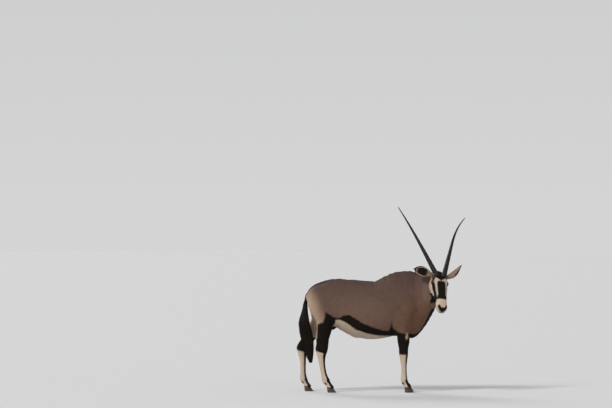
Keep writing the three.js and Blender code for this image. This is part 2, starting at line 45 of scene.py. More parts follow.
# Pose of the head. Its own frame starts over the back of the skull: x runs down the face to the muzzle,
# y to the animal's left, and z out of the forehead.
HEAD_ORIGIN = np.array([737.0, -247.0, 1214.0])
HEAD_TURN = -71.5
HEAD_PITCH = 60.0
HEAD_ROLL = 7.3

HORN_LENGTH = 880.0
HORN_BASE_RADIUS = 26.5
HORN_TIP_RADIUS = 3.5
HORN_BACK = 7.0
HORN_ROOT = np.array([62.0, 37.0, -16.0])
HORN_SPREAD = {"right": (19.0, 23.0), "left": (19.0, 40.0)}

EYE_RADIUS = 20.5
EYE_PLACE = np.array([130.0, 69.0, -42.0])
EAR_LENGTH = 200.0
EAR_ROOT = np.array([46.0, 68.0, -42.0])

# Sections of the flesh. A trunk or head row is [x, top, widest level, bottom, half width].
TRUNK = [
    [-545, 966, 934, 892, 27], [-515, 1012, 948, 864, 75], [-468, 1058, 950, 828, 117],
    [-400, 1098, 928, 780, 159], [-310, 1138, 885, 695, 186], [-200, 1123, 820, 626, 204],
    [-90, 1109, 790, 556, 220], [40, 1099, 778, 520, 232], [150, 1099, 780, 528, 226],
    [250, 1139, 795, 548, 204], [350, 1190, 810, 546, 178], [440, 1178, 802, 530, 148],
    [510, 1050, 792, 532, 110], [566, 930, 776, 576, 66],
]
HEAD_ROWS = [
    [8, -42, -78, -118, 48], [40, -18, -70, -150, 66], [80, -4, -60, -176, 75],
    [125, 2, -54, -186, 80], [165, 1, -54, -180, 76], [215, -2, -56, -158, 70],
    [265, -5, -52, -136, 62], [315, -7, -50, -118, 56], [360, -9, -48, -110, 55],
    [398, -18, -52, -104, 54], [424, -38, -62, -92, 42],
]
# A limb or neck row is [x, y, z, half width, front or top half depth, rear or bottom half depth].
NECK = [
    [300, 0, 850, 150, 284, 290], [410, 0, 905, 140, 272, 322], [520, -25, 962, 122, 222, 262],
    [612, -80, 1020, 100, 162, 190], [668, -142, 1066, 86, 118, 138], [702, -196, 1092, 76, 88, 104],
]
HIND_NEAR = [
    [-440, 88, 965, 76, 112, 122], [-436, 112, 880, 92, 140, 134], [-424, 122, 800, 90, 130, 104],
    [-398, 128, 720, 76, 100, 88], [-398, 128, 640, 60, 78, 80], [-418, 124, 550, 43, 68, 70],
    [-422, 119, 480, 32, 62, 62], [-428, 117, 425, 34, 60, 64], [-430, 117, 378, 30, 48, 52],
    [-427, 117, 325, 24, 35, 38], [-420, 118, 260, 21, 29, 32], [-407, 119, 190, 21, 28, 32],
    [-395, 120, 146, 25, 32, 37], [-382, 120, 114, 31, 35, 40], [-359, 121, 78, 27, 28, 29],
    [-342, 122, 46, 37, 35, 38],
]
HIND_FAR = [
    [-452, 90, 960, 80, 112, 110], [-450, 112, 880, 92, 140, 112], [-446, 122, 800, 90, 128, 100],
    [-446, 128, 720, 76, 98, 88], [-484, 128, 640, 60, 78, 76], [-546, 124, 550, 43, 66, 60],
    [-594, 119, 480, 32, 54, 54], [-616, 117, 428, 34, 54, 62], [-618, 117, 378, 30, 46, 48],
    [-614, 117, 325, 24, 33, 36], [-612, 118, 260, 21, 28, 30], [-611, 119, 190, 21, 27, 30],
    [-609, 120, 146, 25, 31, 36], [-602, 120, 114, 31, 34, 39], [-583, 121, 78, 27, 28, 29],
    [-567, 122, 46, 37, 35, 38],
]
FORE = [
    [402, 112, 830, 60, 88, 96], [368, 126, 730, 62, 92, 96], [358, 128, 640, 54, 82, 78],
    [374, 126, 571, 44, 66, 64], [379, 124, 500, 37, 61, 60], [380, 121, 430, 32, 47, 48],
    [381, 119, 372, 37, 44, 46], [382, 118, 322, 29, 36, 38], [384, 117, 260, 23, 28, 30],
    [387, 116, 190, 22, 26, 30], [388, 116, 148, 25, 29, 34], [390, 116, 114, 30, 32, 37],
    [406, 117, 78, 27, 27, 28], [424, 118, 46, 37, 34, 37],
]
FORE_FAR_AHEAD = 6
FORE_FAR = [[row[0] + FORE_FAR_AHEAD] + row[1:] for row in FORE]
SHOULDER_BLADE = [[300, 62, 1128, 24, 40, 44], [362, 112, 960, 44, 74, 76], [440, 118, 820, 46, 70, 70]]
TRICEPS = [[318, 124, 850, 40, 60, 52], [312, 140, 740, 44, 70, 60], [306, 134, 652, 34, 52, 34]]
SHEATH = [
    [-238, 0, 664, 18, 18, 20], [-165, 0, 611, 21, 20, 24], [-104, 0, 570, 24, 20, 27],
    [-76, 0, 560, 20, 18, 24],
]
TAIL_DOCK = [
    [-500, 0, 1010, 27, 27, 27], [-546, 0, 968, 24, 24, 24], [-580, 0, 912, 20, 21, 21],
    [-600, 0, 850, 18, 19, 19], [-608, 0, 784, 17, 18, 18],
]
TAIL_TUFT = [
    [-608, 0, 782, 17, 18, 18], [-610, 0, 735, 34, 44, 34], [-604, 0, 655, 48, 58, 48],
    [-586, 0, 560, 50, 62, 50], [-568, 0, 460, 44, 56, 44], [-553, 0, 370, 30, 38, 30],
    [-538, 0, 290, 11, 13, 11],
]
SIDES = {"left": 1, "right": -1}


# Small helpers
def unit(v):
    v = np.asarray(v, float)
    return v / np.linalg.norm(v, axis=-1, keepdims=True)


def mix(a, b, t):
    return a + (b - a) * t


def smooth(low, high, x):
    t = np.clip((x - low) / (high - low), 0, 1)
    return t * t * (3 - 2 * t)


def bell(u, v=0):
    return np.exp(-(u**2) - v**2)


def head_axes():
    turn, pitch, roll = (math.radians(a) for a in (HEAD_TURN, HEAD_PITCH, HEAD_ROLL))
    facing = np.array([math.cos(turn), math.sin(turn), 0])
    level_left = np.array([-facing[1], facing[0], 0])
    left = level_left * math.cos(roll) + np.array([0, 0, -math.sin(roll)])
    up = np.cross(facing, left)
    down_face = facing * math.cos(pitch) - up * math.sin(pitch)
    return np.array([down_face, left, np.cross(down_face, left)])


HEAD_AXES = head_axes()


def to_head(p):
    return (p - HEAD_ORIGIN) @ HEAD_AXES.T


def from_head(q):
    return HEAD_ORIGIN + np.asarray(q, float) @ HEAD_AXES


# The flesh as distances from its surface, in millimetres: inside is negative
NEAR = 70.0  # how far from a shape its own distance is still worked out
FAR = 100.0
SIDEWAYS = np.array([0.0, 1.0, 0.0])


def refine(rows, steps=3):
    """Rows between the given ones, on a smooth curve through them."""
    rows = np.array(rows, np.float32)
    last = len(rows) - 1
    fine = []
    for i in range(last):
        a, b = rows[i], rows[i + 1]
        m0 = (b - rows[max(i - 1, 0)]) / 2
        m1 = (rows[min(i + 2, last)] - a) / 2
        for t in np.arange(steps, dtype=np.float32) / np.float32(steps):
            fine.append(
                (2 * t**3 - 3 * t**2 + 1) * a + (t**3 - 2 * t**2 + t) * m0
                + (3 * t**2 - 2 * t**3) * b + (t**3 - t**2) * m1
            )
    return np.array(fine + [rows[last]])


def segments_of(fine, side):
    """For each pair of rows: both rows, the way along, the ways to the side and up, and the length."""
    segments = []
    for a, b in zip(fine[:-1], fine[1:]):
        along = b[:3] - a[:3]
        length = np.linalg.norm(along)
        t = along / length
        flat = np.cross([0, 0, 1], t) if side is None else side
        s = unit(flat - t * (flat @ t))
        segments.append((a, b, t, s, np.cross(t, s), length))
    return segments


def loft(rows, side=SIDEWAYS, power_up=2.0, power_down=2.0):
    fine = refine(rows)
    segments = segments_of(fine, side)
    reach = fine[:, 3:].max()
    low, high = fine[:, :3].min(0) - reach - NEAR, fine[:, :3].max(0) + reach + NEAR

    def distance(p):
        found = np.full(len(p), FAR, np.float32)
        boxed = np.nonzero(((p > low) & (p < high)).all(1))[0]
        q = p[boxed].astype(np.float32)
        best = np.full(len(q), FAR, np.float32)
        for a, b, t, s, u, length in segments:
            room = length / 2 + max(a[3:].max(), b[3:].max()) + NEAR
            offset = q - (a[:3] + b[:3]) / 2
            close = np.nonzero(np.einsum("ij,ij->i", offset, offset) < room * room)[0]
            r = q[close] - a[:3]
            along = r @ t
            k = np.clip(along / length, 0, 1)
            past = along - k * length
            rs, ru = r @ s, r @ u
            wide = mix(a[3], b[3], k)
            upper = ru > 0
            deep = np.where(upper, mix(a[4], b[4], k), mix(a[5], b[5], k))
            power = np.where(upper, np.float32(power_up), np.float32(power_down))
            across = ((np.abs(rs) / wide) ** power + (np.abs(ru) / deep) ** power) ** (1 / power)
            rho = np.maximum(np.hypot(across, past / np.minimum(wide, deep)), 1e-6)
            span = np.sqrt(rs * rs + ru * ru + past * past)
            best[close] = np.minimum(best[close], span - span / rho)
        found[boxed] = best
        return found

    return distance


def blob(centre, radii):
    centre, radii = np.array(centre, float), np.array(radii, float)

    def distance(p):
        q = p - centre
        rho = np.maximum(np.linalg.norm(q / radii, axis=1), 1e-6)
        span = np.linalg.norm(q, axis=1)
        return np.minimum(span - span / rho, FAR)

    return distance


def mirrored(shape):
    return lambda p: shape(p * [1, -1, 1])


def both_sides(shape):
    return lambda p: shape(np.column_stack([p[:, 0], np.abs(p[:, 1]), p[:, 2]]))


def blend(a, b, k):
    h = np.where((a < FAR) & (b < FAR), np.maximum(k - np.abs(a - b), 0) / k, 0)
    return np.minimum(a, b) - h * h * k / 4


def carve(a, b, k):
    return -blend(-a, np.maximum(b, -FAR), k)


def trunk_row(row):
    x, top, widest, bottom, half = row
    return [x, 0, widest, half, top - widest, widest - bottom]


def head_shape():
    skull = loft([trunk_row(row) for row in HEAD_ROWS], power_up=2.5, power_down=1.9)
    lumps = [
        ([126, 60, -38], [38, 20, 26], 14),  # brow and eye socket
        ([180, 58, -68], [54, 17, 18], 18),  # ridge under the eye
        ([142, 46, -112], [62, 28, 54], 24),  # cheek muscle
        ([64, 37, -20], [34, 28, 26], 14),  # horn root
        ([48, 62, -48], [28, 24, 28], 16),  # ear root
        ([394, 24, -52], [34, 30, 34], 14),  # nostril and upper lip
        ([392, 0, -94], [36, 28, 20], 12),  # chin
    ]
    lumps = [(both_sides(blob(centre, radii)), k) for centre, radii, k in lumps]

    def distance(q):
        d = skull(q)
        for shape, k in lumps:
            d = blend(d, shape(q), k)
        return d

    return distance


def limb(rows):
    return loft(rows, power_up=2.1, power_down=2.1)


# Eyelids: a second ball over the eyeball, open along an almond between its two lids.
LID_RADIUS = 24.0
LID_OPEN = {"half_length": 18.0, "half_height": 11.5, "depth": 17.0}
GAZE = unit([0.16, 0.88, 0.40])
FISSURE = unit(np.array([1.0, 0.0, -0.14]) - GAZE * (np.array([1.0, 0.0, -0.14]) @ GAZE))
LID_UP = np.cross(FISSURE, GAZE) * -1
EYE_AXES = np.array([FISSURE, LID_UP, GAZE])


def eye_frame(q):
    """Places in the head's frame, seen from the eye: along the slit, up, and out along the gaze."""
    r = np.column_stack([q[:, 0], np.abs(q[:, 1]), q[:, 2]]) - EYE_PLACE
    return r @ FISSURE, r @ LID_UP, r @ GAZE, np.linalg.norm(r, axis=1)


def with_lids(q, d):
    along, up, out, away = eye_frame(q)
    d = blend(d, away - LID_RADIUS, 9)
    half, high = LID_OPEN["half_length"], LID_OPEN["half_height"]
    rho = (half * half + high * high) / (2 * high)
    almond = np.hypot(along, np.abs(up) + rho - high) - rho
    opening = np.maximum(np.maximum(almond, LID_OPEN["depth"] - away), -out)
    return carve(d, opening, 1.6)


# The muzzle: slit nostrils that curl back and up, and the line of the mouth.
NOSTRIL = [[432, 8, -48], [424, 18, -38], [412, 29, -29], [397, 37, -24]]
NOSTRIL_RADII = [3.4, 5.4, 4.8, 2.4]
MOUTH_FRONT, MOUTH_CORNER = [452, -74], [350, -88]
LIP_GROOVE = {"half_width": 2.2, "depth": 7.0}


def tube(points, radii):
    points = np.array(points, float)

    def distance(p):
        best = np.full(len(p), FAR)
        for a, b, ra, rb in zip(points[:-1], points[1:], radii[:-1], radii[1:]):
            t = np.clip((p - a) @ (b - a) / ((b - a) @ (b - a)), 0, 1)
            best = np.minimum(best, np.linalg.norm(p - a - t[:, None] * (b - a), axis=1) - mix(ra, rb, t))
        return best

    return distance


def mouth_level(share):
    return mix(MOUTH_CORNER[1], MOUTH_FRONT[1], share) - 5 * np.sin(math.pi * np.clip(share, 0, 1))


def with_muzzle(q, d):
    d = carve(d, both_sides(tube(NOSTRIL, NOSTRIL_RADII))(q), 3)
    share = (q[:, 0] - MOUTH_CORNER[0]) / (MOUTH_FRONT[0] - MOUTH_CORNER[0])
    level = mouth_level(share)
    open_share = np.clip(1 + d / LIP_GROOVE["depth"], 0, 1) * smooth(-0.02, 0.1, share)
    groove = np.abs(q[:, 2] - level) - LIP_GROOVE["half_width"] * open_share
    groove = np.where(share > -0.05, groove, FAR)
    return carve(d, np.where(open_share > 0, groove, FAR), 1.5)


def flesh_shape():
    lumps = [
        (loft(NECK, side=None, power_up=1.9), 46),
        (both_sides(limb(SHOULDER_BLADE)), 40),
        (both_sides(limb(TRICEPS)), 30),
        (mirrored(limb(HIND_NEAR)), 50),
        (limb(HIND_FAR), 50),
        (mirrored(limb(FORE)), 30),
        (limb(FORE_FAR), 30),
        (blob([-318, 0, 672], [42, 34, 62]), 34),  # scrotum
        (limb(SHEATH), 26),
        (limb(TAIL_DOCK), 24),
    ]
    trunk = loft([trunk_row(row) for row in TRUNK], power_down=2.3)
    head = head_shape()
    head_low, head_high = np.array([-80.0, -170.0, -280.0]), np.array([540.0, 170.0, 110.0])

    def distance(p):
        d = trunk(p)
        for shape, k in lumps:
            d = blend(d, shape(p), k)
        q = to_head(p)
        at_head = np.nonzero(((q > head_low) & (q < head_high)).all(1))[0]
        q = q[at_head]
        d[at_head] = with_muzzle(q, with_lids(q, blend(d[at_head], head(q), 26)))
        return d

    return distance


# How deep the skin lies under the tips of the coat
COAT_DEPTH = {"body": 4.5, "leg": 2.5, "face": 1.2}


def coat_depth(p):
    q = to_head(p)
    face = smooth(60, 130, q[:, 0]) * smooth(200, 120, np.abs(q[:, 1])) * smooth(-330, -230, q[:, 2])
    leg = smooth(620, 420, p[:, 2])
    return mix(mix(COAT_DEPTH["body"], COAT_DEPTH["leg"], leg), COAT_DEPTH["face"], face)


# The skin's grid seen through a lens, which makes its cells four times smaller on the head
LENS_CENTRE = from_head([205, 0, -70])
LENS_SHRINK, LENS_FULL, LENS_EDGE = 0.26, 1000.0, 1300.0
CELL = 14.0
STRIDE = 4  # fine cells along a coarse one
KEEP_WITHIN = 40.0  # how near the surface a coarse cell has to be for its fine ones to be worked out


def lens(u):
    rho = np.linalg.norm(u, axis=1, keepdims=True)
    over = np.clip(rho - LENS_FULL, 0, LENS_EDGE - LENS_FULL)
    radius = LENS_SHRINK * rho + (1 - LENS_SHRINK) * over * over / (2 * (LENS_EDGE - LENS_FULL))
    radius += (1 - LENS_SHRINK) * np.maximum(rho - LENS_EDGE, 0)
    return LENS_CENTRE + u * (radius / np.maximum(rho, 1e-9))


def unlens(p):
    """The lens run backwards, by bisection."""
    q = p - LENS_CENTRE
    want = np.linalg.norm(q, axis=1)
    low, high = np.zeros(len(p)), np.full(len(p), 1e4)
    for _ in range(40):
        middle = (low + high) / 2
        probe = np.column_stack([middle, 0 * middle, 0 * middle])
        small = np.linalg.norm(lens(probe) - LENS_CENTRE, axis=1) < want
        low, high = np.where(small, middle, low), np.where(small, high, middle)
    return q * (high / np.maximum(want, 1e-9))[:, None]


def grid_box():
    """The grid's low and high corners, from places spread over the box that holds the body."""
    spread = itertools.product(np.linspace(-700, 900, 17), np.linspace(-460, 240, 8), (20, 400, 800, 1250))
    u = unlens(np.array(list(spread), float))
    return u.min(0) - 60, u.max(0) + 60


def sample(distance):
    """The distance on every node of the grid: worked out near the surface, and only its sign elsewhere."""
    low, high = grid_box()
    cells = np.ceil((high - low) / (CELL * STRIDE)).astype(int)
    coarse_shape = cells + 1
    index = np.indices(coarse_shape).reshape(3, -1).T
    coarse = distance(lens(low + index * CELL * STRIDE)).reshape(coarse_shape)
    near = np.full(cells, np.inf)
    for corner in itertools.product((0, 1), repeat=3):
        part = coarse[tuple(slice(k, m + k) for k, m in zip(corner, cells))]
        near = np.minimum(near, np.abs(part))
    keep = near < KEEP_WITHIN
    fine_shape = cells * STRIDE + 1
    wanted = np.zeros(fine_shape, bool)
    for i, j, k in np.argwhere(keep) * STRIDE:
        wanted[i:i + STRIDE + 1, j:j + STRIDE + 1, k:k + STRIDE + 1] = True
    value = coarse.astype(np.float32)
    for axis in range(3):
        value = np.repeat(value, STRIDE, axis=axis)
    value = value[:fine_shape[0], :fine_shape[1], :fine_shape[2]].copy()
    nodes = np.argwhere(wanted)
    value[wanted] = distance(lens(low + nodes * CELL))
    return value, low


def surface_net(value):
    """One vertex in each cell that the surface crosses, and a quad round each crossed edge."""
    n = np.array(value.shape) - 1
    inside = value < 0
    total = np.zeros((*n, 3), np.float32)
    crossings = np.zeros(n, np.int8)
    steps = np.eye(3, dtype=int)
    for axis, a, b in itertools.product(range(3), (0, 1), (0, 1)):
        start = np.zeros(3, int)
        start[(axis + 1) % 3], start[(axis + 2) % 3] = a, b
        end = start + steps[axis]
        s = tuple(slice(start[m], start[m] + n[m]) for m in range(3))
        e = tuple(slice(end[m], end[m] + n[m]) for m in range(3))
        crossed = inside[s] != inside[e]
        v0, v1 = value[s][crossed], value[e][crossed]
        share = v0 / (v0 - v1)
        crossings[crossed] += 1
        for m in range(3):
            total[crossed, m] += start[m] + (share if m == axis else 0)
    cells = np.argwhere(crossings > 0)
    number = np.full(n, -1, int)
    number[tuple(cells.T)] = np.arange(len(cells))
    vertices = cells + total[tuple(cells.T)] / crossings[tuple(cells.T)][:, None]
    quads = []
    for axis in range(3):
        s = tuple(slice(1, n[m]) if m != axis else slice(0, n[m]) for m in range(3))
        e = tuple(slice(1, n[m]) if m != axis else slice(1, n[m] + 1) for m in range(3))
        here = inside[s]
        crossed = np.argwhere(here != inside[e])
        flip = ~here[tuple(crossed.T)]
        crossed += [0 if m == axis else 1 for m in range(3)]
        b, c = steps[(axis + 1) % 3], steps[(axis + 2) % 3]
        ring = [number[tuple((crossed - p * b - q * c).T)] for p, q in ((0, 0), (1, 0), (1, 1), (0, 1))]
        ring = np.column_stack(ring)
        ring[flip] = ring[flip][:, ::-1]
        quads.append(ring)
    return vertices, np.vstack(quads)


TETRA = np.array([[1, 1, 1], [1, -1, -1], [-1, 1, -1], [-1, -1, 1]]) * 1.0
PROBE = 0.6  # from a place to the four places round it that give the slope there
LONGEST_STEP = 6


def slope(distance, p):
    values = [distance(p + PROBE * k) for k in TETRA]
    gradient = sum(v[:, None] * k for v, k in zip(values, TETRA)) / (4 * PROBE)
    return sum(values) / 4, gradient


def settle(distance, p, rounds):
    """Places moved onto the surface along its slope."""
    for _ in range(rounds):
        d, g = slope(distance, p)
        step = d / np.maximum((g * g).sum(1), 0.2)
        p = p - np.clip(step, -LONGEST_STEP, LONGEST_STEP)[:, None] * g
    return p


def relax(p, quads, share):
    """Places moved by a share of the way to the middle of their neighbours."""
    total, count = np.zeros_like(p), np.zeros(len(p))
    for k in range(4):
        a, b = quads[:, k], quads[:, (k + 1) % 4]
        for m in range(3):
            total[:, m] += np.bincount(a, p[b, m], len(p)) + np.bincount(b, p[a, m], len(p))
        count += np.bincount(a, minlength=len(p)) + np.bincount(b, minlength=len(p))
    return mix(p, total / np.maximum(count, 1)[:, None], share)


# Places along a limb or the neck
def along_rows(rows, p, side=SIDEWAYS):
    """For each point the nearest place on a limb's middle line: its row values there, the line's heading,
    and how far the point lies to the side of it and in front of (or above) it."""
    fine = refine(rows).astype(float)
    best = np.full(len(p), 1e9)
    row = np.zeros((len(p), fine.shape[1]))
    heading = np.zeros((len(p), 3))
    across, ahead = np.zeros(len(p)), np.zeros(len(p))
    for a, b, t, s, u, length in segments_of(fine, side):
        r = p - a[:3]
        k = np.clip(r @ t / length, 0, 1)
        away = np.linalg.norm(r - k[:, None] * (b[:3] - a[:3]), axis=1)
        closer = away < best
        best[closer] = away[closer]
        row[closer] = mix(a, b, k[closer, None])
        heading[closer] = t
        across[closer] = (r @ s)[closer]
        ahead[closer] = (r @ u)[closer]
    return {"away": best, "row": row, "heading": heading, "across": across, "ahead": ahead}


LEGS = {
    "foreleg_right": (FORE, -1), "foreleg_left": (FORE_FAR, 1),
    "hindleg_right": (HIND_NEAR, -1), "hindleg_left": (HIND_FAR, 1),
}


def along_leg(name, p):
    rows, side = LEGS[name]
    return along_rows(rows, p * [1, side, 1])


LEG_TOP = {"hind": 640.0, "fore": 600.0}
LEG_GRIP = 1.5  # how far a leg's own marks reach, in its radii


def on_leg(name, p, place):
    """Whether a point belongs to a leg, and not to the trunk or to the other leg."""
    grip = place["away"] / place["row"][:, 3:].max(1)
    return (grip < LEG_GRIP) & (p[:, 1] * LEGS[name][1] > 20) & (p[:, 2] < LEG_TOP[name[:4]])


def curve(points, x):
    points = np.array(points, float)
    return np.interp(x, points[:, 0], points[:, 1])


def outline(points, x, z):
    """Distance to a closed outline in a plane."""
    points = np.array(points, float)
    best = np.full(len(x), 1e9)
    inside = np.zeros(len(x), bool)
    for (x0, z0), (x1, z1) in zip(points, np.roll(points, -1, axis=0)):
        dx, dz = x1 - x0, z1 - z0
        t = np.clip(((x - x0) * dx + (z - z0) * dz) / (dx * dx + dz * dz), 0, 1)
        best = np.minimum(best, np.hypot(x - x0 - t * dx, z - z0 - t * dz))
        if dz:
            inside ^= ((z0 > z) != (z1 > z)) & (x < dx * (z - z0) / dz + x0)
    return np.where(inside, -best, best)


def either(*marks):
    return np.minimum.reduce(marks)


def both(*marks):
    return np.maximum.reduce(np.broadcast_arrays(*marks))


# Markings, as distances in millimetres: negative inside. Both sides of the body carry them alike.
STRIPE = [
    [-389, 806], [-328, 754], [-285, 738], [-250, 735], [-218, 762], [-151, 771], [-85, 732],
    [-19, 688], [92, 644], [180, 616], [250, 606], [300, 622], [335, 590], [391, 575], [437, 564],
    [480, 566], [480, 500], [300, 500], [291, 566], [202, 562], [125, 566], [15, 589], [-85, 622],
    [-173, 688], [-250, 724], [-285, 720], [-296, 690], [-340, 640], [-389, 640],
]
THIGH = [
    [-389, 806], [-300, 740], [-285, 718], [-297, 690], [-300, 655], [-230, 600], [-230, 340],
    [-600, 340], [-600, 520], [-500, 532], [-474, 545], [-472, 640], [-468, 684], [-412, 699], [-394, 744],
]
ARMPIT = [[261, 712], [252, 655], [236, 612], [236, 560], [330, 560], [316, 596], [284, 630], [268, 664]]
BRISKET = [[330, 600], [437, 570], [480, 576], [534, 600], [564, 650], [615, 738], [650, 480], [330, 480]]
BELLY_EDGE = [
    [-300, 716], [-250, 722], [-173, 688], [-85, 622], [15, 589], [125, 566], [202, 562], [291, 566],
    [330, 500],
]
THROAT = [[330, 46], [480, 32], [620, 21], [702, 18]]
BRISKET_SIDE = [[480, 74], [560, 46]]
BACK_STRIPE = [[-560, 38], [-500, 52], [-420, 54], [-340, 42], [-240, 24], [-100, 12], [300, 8], [520, 10]]
HIND_SOCK, FORE_SOCK = 398.0, 379.0  # black above, white below


def leg_marks(name, p, place):
    """Black above the knee or hock, then a white leg with a black stripe down its front."""
    z = p[:, 2]
    row, ahead = place["row"], place["ahead"]
    forward = ahead / np.where(ahead > 0, row[:, 4], row[:, 5])
    if name.startswith("hind"):
        inward = -place["across"] / row[:, 3]
        sock = HIND_SOCK - 20 * forward
        rows = np.array(LEGS[name][0], float)[::-1]
        near = np.array(HIND_NEAR, float)[::-1]
        x = p[:, 0] - np.interp(z, rows[:, 2], rows[:, 0]) + np.interp(z, near[:, 2], near[:, 0])
        upper = both(outline(THIGH, x, z), np.minimum((inward - 0.2) * 60, z - 536))
        stripe = both((0.32 - forward) * row[:, 4], z - 420)
    else:
        sock = FORE_SOCK + 0 * z
        upper = z - 584
        stripe = both((0.5 - forward) * row[:, 4], z - 400)
    low_front = both((0.12 - forward) * row[:, 4], z - 128)
    coronet = np.abs(z - 44) - 9
    return either(both(upper, sock - z), stripe, low_front, coronet), z - sock


FORE_PATCH = {"x": 411, "z": 560, "radius": 14, "lean": 0.12, "squash": 0.42, "from_middle": 90}


def fore_patch(p):
    """The pale patch over the front of each forearm, as a leaning oval."""
    up = p[:, 2] - FORE_PATCH["z"]
    forward = p[:, 0] - FORE_PATCH["x"] - FORE_PATCH["lean"] * up
    patch = np.hypot(forward, up * FORE_PATCH["squash"]) - FORE_PATCH["radius"]
    return both(patch, FORE_PATCH["from_middle"] - np.abs(p[:, 1]))


def trunk_marks(p, n):
    x, y, z = p.T
    side = np.abs(y)
    lateral = both(70 - side, (0.2 - n[:, 1] * np.sign(y)) * 60)
    stripe = outline(STRIPE, x, z)
    thigh = both(outline(THIGH, x, z), lateral, 560 - z)
    armpit = outline(ARMPIT, x, z)
    brisket = both(outline(BRISKET, x, z), np.where(x < 480, -60, side - curve(BRISKET_SIDE, x)))
    back = np.where(n[:, 2] > 0.2, side - curve(BACK_STRIPE, x), 60)
    back = both(back, x - 450, 900 - z)
    dock = both(along_rows(TAIL_DOCK, p)["away"] - 32, -12, x + 530)
    scrotum = (np.linalg.norm((p - [-318, 0, 640]) / [44, 36, 46], axis=1) - 1) * 40
    black = either(stripe, thigh, armpit, brisket, back, dock, scrotum)
    white = both(z - curve(BELLY_EDGE, x), np.abs(x) - 300)
    groin = both(side - 112, z - 718, x + 290, -450 - x)
    return black, either(white, groin)


def neck_marks(p):
    neck = along_rows(NECK, p, side=None)
    x, across, ahead, row = neck["row"][:, 0], np.abs(neck["across"]), neck["ahead"], neck["row"]
    throat = both(across - curve(THROAT, x), ahead + 0.5 * row[:, 5], 330 - x)
    crest = both(across - 11, 0.5 * row[:, 4] - ahead, 400 - x)
    return either(throat, crest)


# The face. Points are [place down the face, half width or level there], or an outline seen from the side.
CROWN = [[-30, 44], [10, 60], [66, 62], [88, 50], [104, 27], [120, 6], [132, 4]]
BLAZE = [[128, 27], [140, 41], [170, 44], [225, 42], [270, 39], [298, 50], [323, 70]]
BLAZE_END = 323
EYE_STRIPE = [[42, -26], [95, -31], [130, -37], [197, -39], [240, -41], [300, -52], [345, -68]]
EYE_STRIPE_HALF = [[42, 18], [100, 18], [130, 24], [165, 21], [240, 19], [300, 29], [345, 24]]
HALTER = [
    [276, -36], [306, -10], [323, -3], [330, -30], [341, -60], [346, -92], [340, -122], [300, -175],
    [205, -196], [172, -176], [196, -152], [228, -128], [250, -98], [262, -62],
]
WHITE_FACE = [
    [-12, 60], [-12, -20], [26, -50], [60, -80], [92, -110], [138, -136], [196, -142], [250, -130],
    [330, -128], [480, -128], [480, 60],
]
NOSE_PAD = {"top": [420, 0, -32], "bottom": [438, 0, -50], "radius": 15.0}


def head_marks(q):
    x, y, z = q[:, 0], np.abs(q[:, 1]), q[:, 2]
    front = -z - 66
    crown = both((y - curve(CROWN, x)) * 0.8, front, x - 132, -24 - x)
    blaze = both((y - curve(BLAZE, x)) * 0.9, front, BLAZE[0][0] - x, x - BLAZE_END)
    stripe = np.abs(z - curve(EYE_STRIPE, x)) - curve(EYE_STRIPE_HALF, x)
    stripe = both(stripe, 40 - x, x - 342, 42 - y)
    halter = both(outline(HALTER, x, z), both(18 - y, z + 70))
    folded = np.column_stack([x, y, z])
    nose = tube(NOSTRIL, NOSTRIL_RADII)(folded) - 11
    pad = [NOSE_PAD["radius"]] * 2
    nose = either(nose, tube([NOSE_PAD["top"], NOSE_PAD["bottom"]], pad)(folded))
    share = (x - MOUTH_CORNER[0]) / (MOUTH_FRONT[0] - MOUTH_CORNER[0])
    lips = both(np.abs(z - mouth_level(share)) - 4, -share * 60, (share - 0.86) * 60)
    throat = both(y - 30, z + 0.4 * x + 40, x - 240)
    return either(crown, blaze, stripe, halter, nose, lips, throat), outline(WHITE_FACE, x, z)


FACING = unit(np.cross(HEAD_AXES[1], [0, 0, 1]))
HEAD_PLANE = (330.0, 352.0)  # along the way the head faces, from the neck's marks to the head's


def markings(p, n):
    """Black and white marks and the tones of the grey-brown at places on the skin with these normals, with
    painted light among them: painted shade over the back, neck and head, a painted warm bounce low on the
    chest and shoulders, and a painted rim light over the buttocks.
    """
    x, z = p[:, 0], p[:, 2]
    black, white = trunk_marks(p, n)
    black = either(black, neck_marks(p))
    inner = 0 * x
    for name, (_, side) in LEGS.items():
        place = along_leg(name, p)
        leg_black, leg_white = leg_marks(name, p, place)
        member = on_leg(name, p, place)
        if name.startswith("fore"):
            leg_black = np.where(z > 540, np.minimum(leg_black, black), leg_black)
        else:
            inner = np.maximum(inner, smooth(-0.1, 0.5, -side * n[:, 1]) * (place["away"] < 130))
        black = np.where(member, leg_black, black)
        white = np.where(member, leg_white, white)
    patch = fore_patch(p)
    black = both(black, -patch)
    headness = smooth(*HEAD_PLANE, p @ FACING)
    q = to_head(p)
    head_black, head_white = head_marks(q)
    # The rump's pale is painted rim light along the buttocks; the pale inner thighs and forearm patches are
    # the coat's own
    rim_lit_rump = smooth(0, 1, (-x - 360) / 214 + (940 - z) / 500 - 0.3)
    thigh = np.maximum(rim_lit_rump, inner * smooth(700, 600, z)) * smooth(-290, -340, x)
    thigh = np.maximum(thigh, 0.85 * smooth(4, -6, patch))
    cheek = smooth(330, 200, q[:, 0]) * smooth(-60, -130, q[:, 2])
    return {
        "black": np.clip(mix(black, head_black, headness), -60, 60) / 100,
        "white": np.clip(mix(white, head_white, headness), -60, 60) / 100,
        "pale": mix(thigh, 0.12 * cheek, headness),
        # dark: painted shade, growing up the body to the back and neck, and stronger on the head's grey to
        # stand in for the shade among its tufts
        "dark": smooth(700, 1130, z) + 0.25 * headness,
        # warm: painted warm bounce light, low on the chest and shoulders
        "warm": smooth(120, 460, x) * smooth(1080, 740, z),
    }


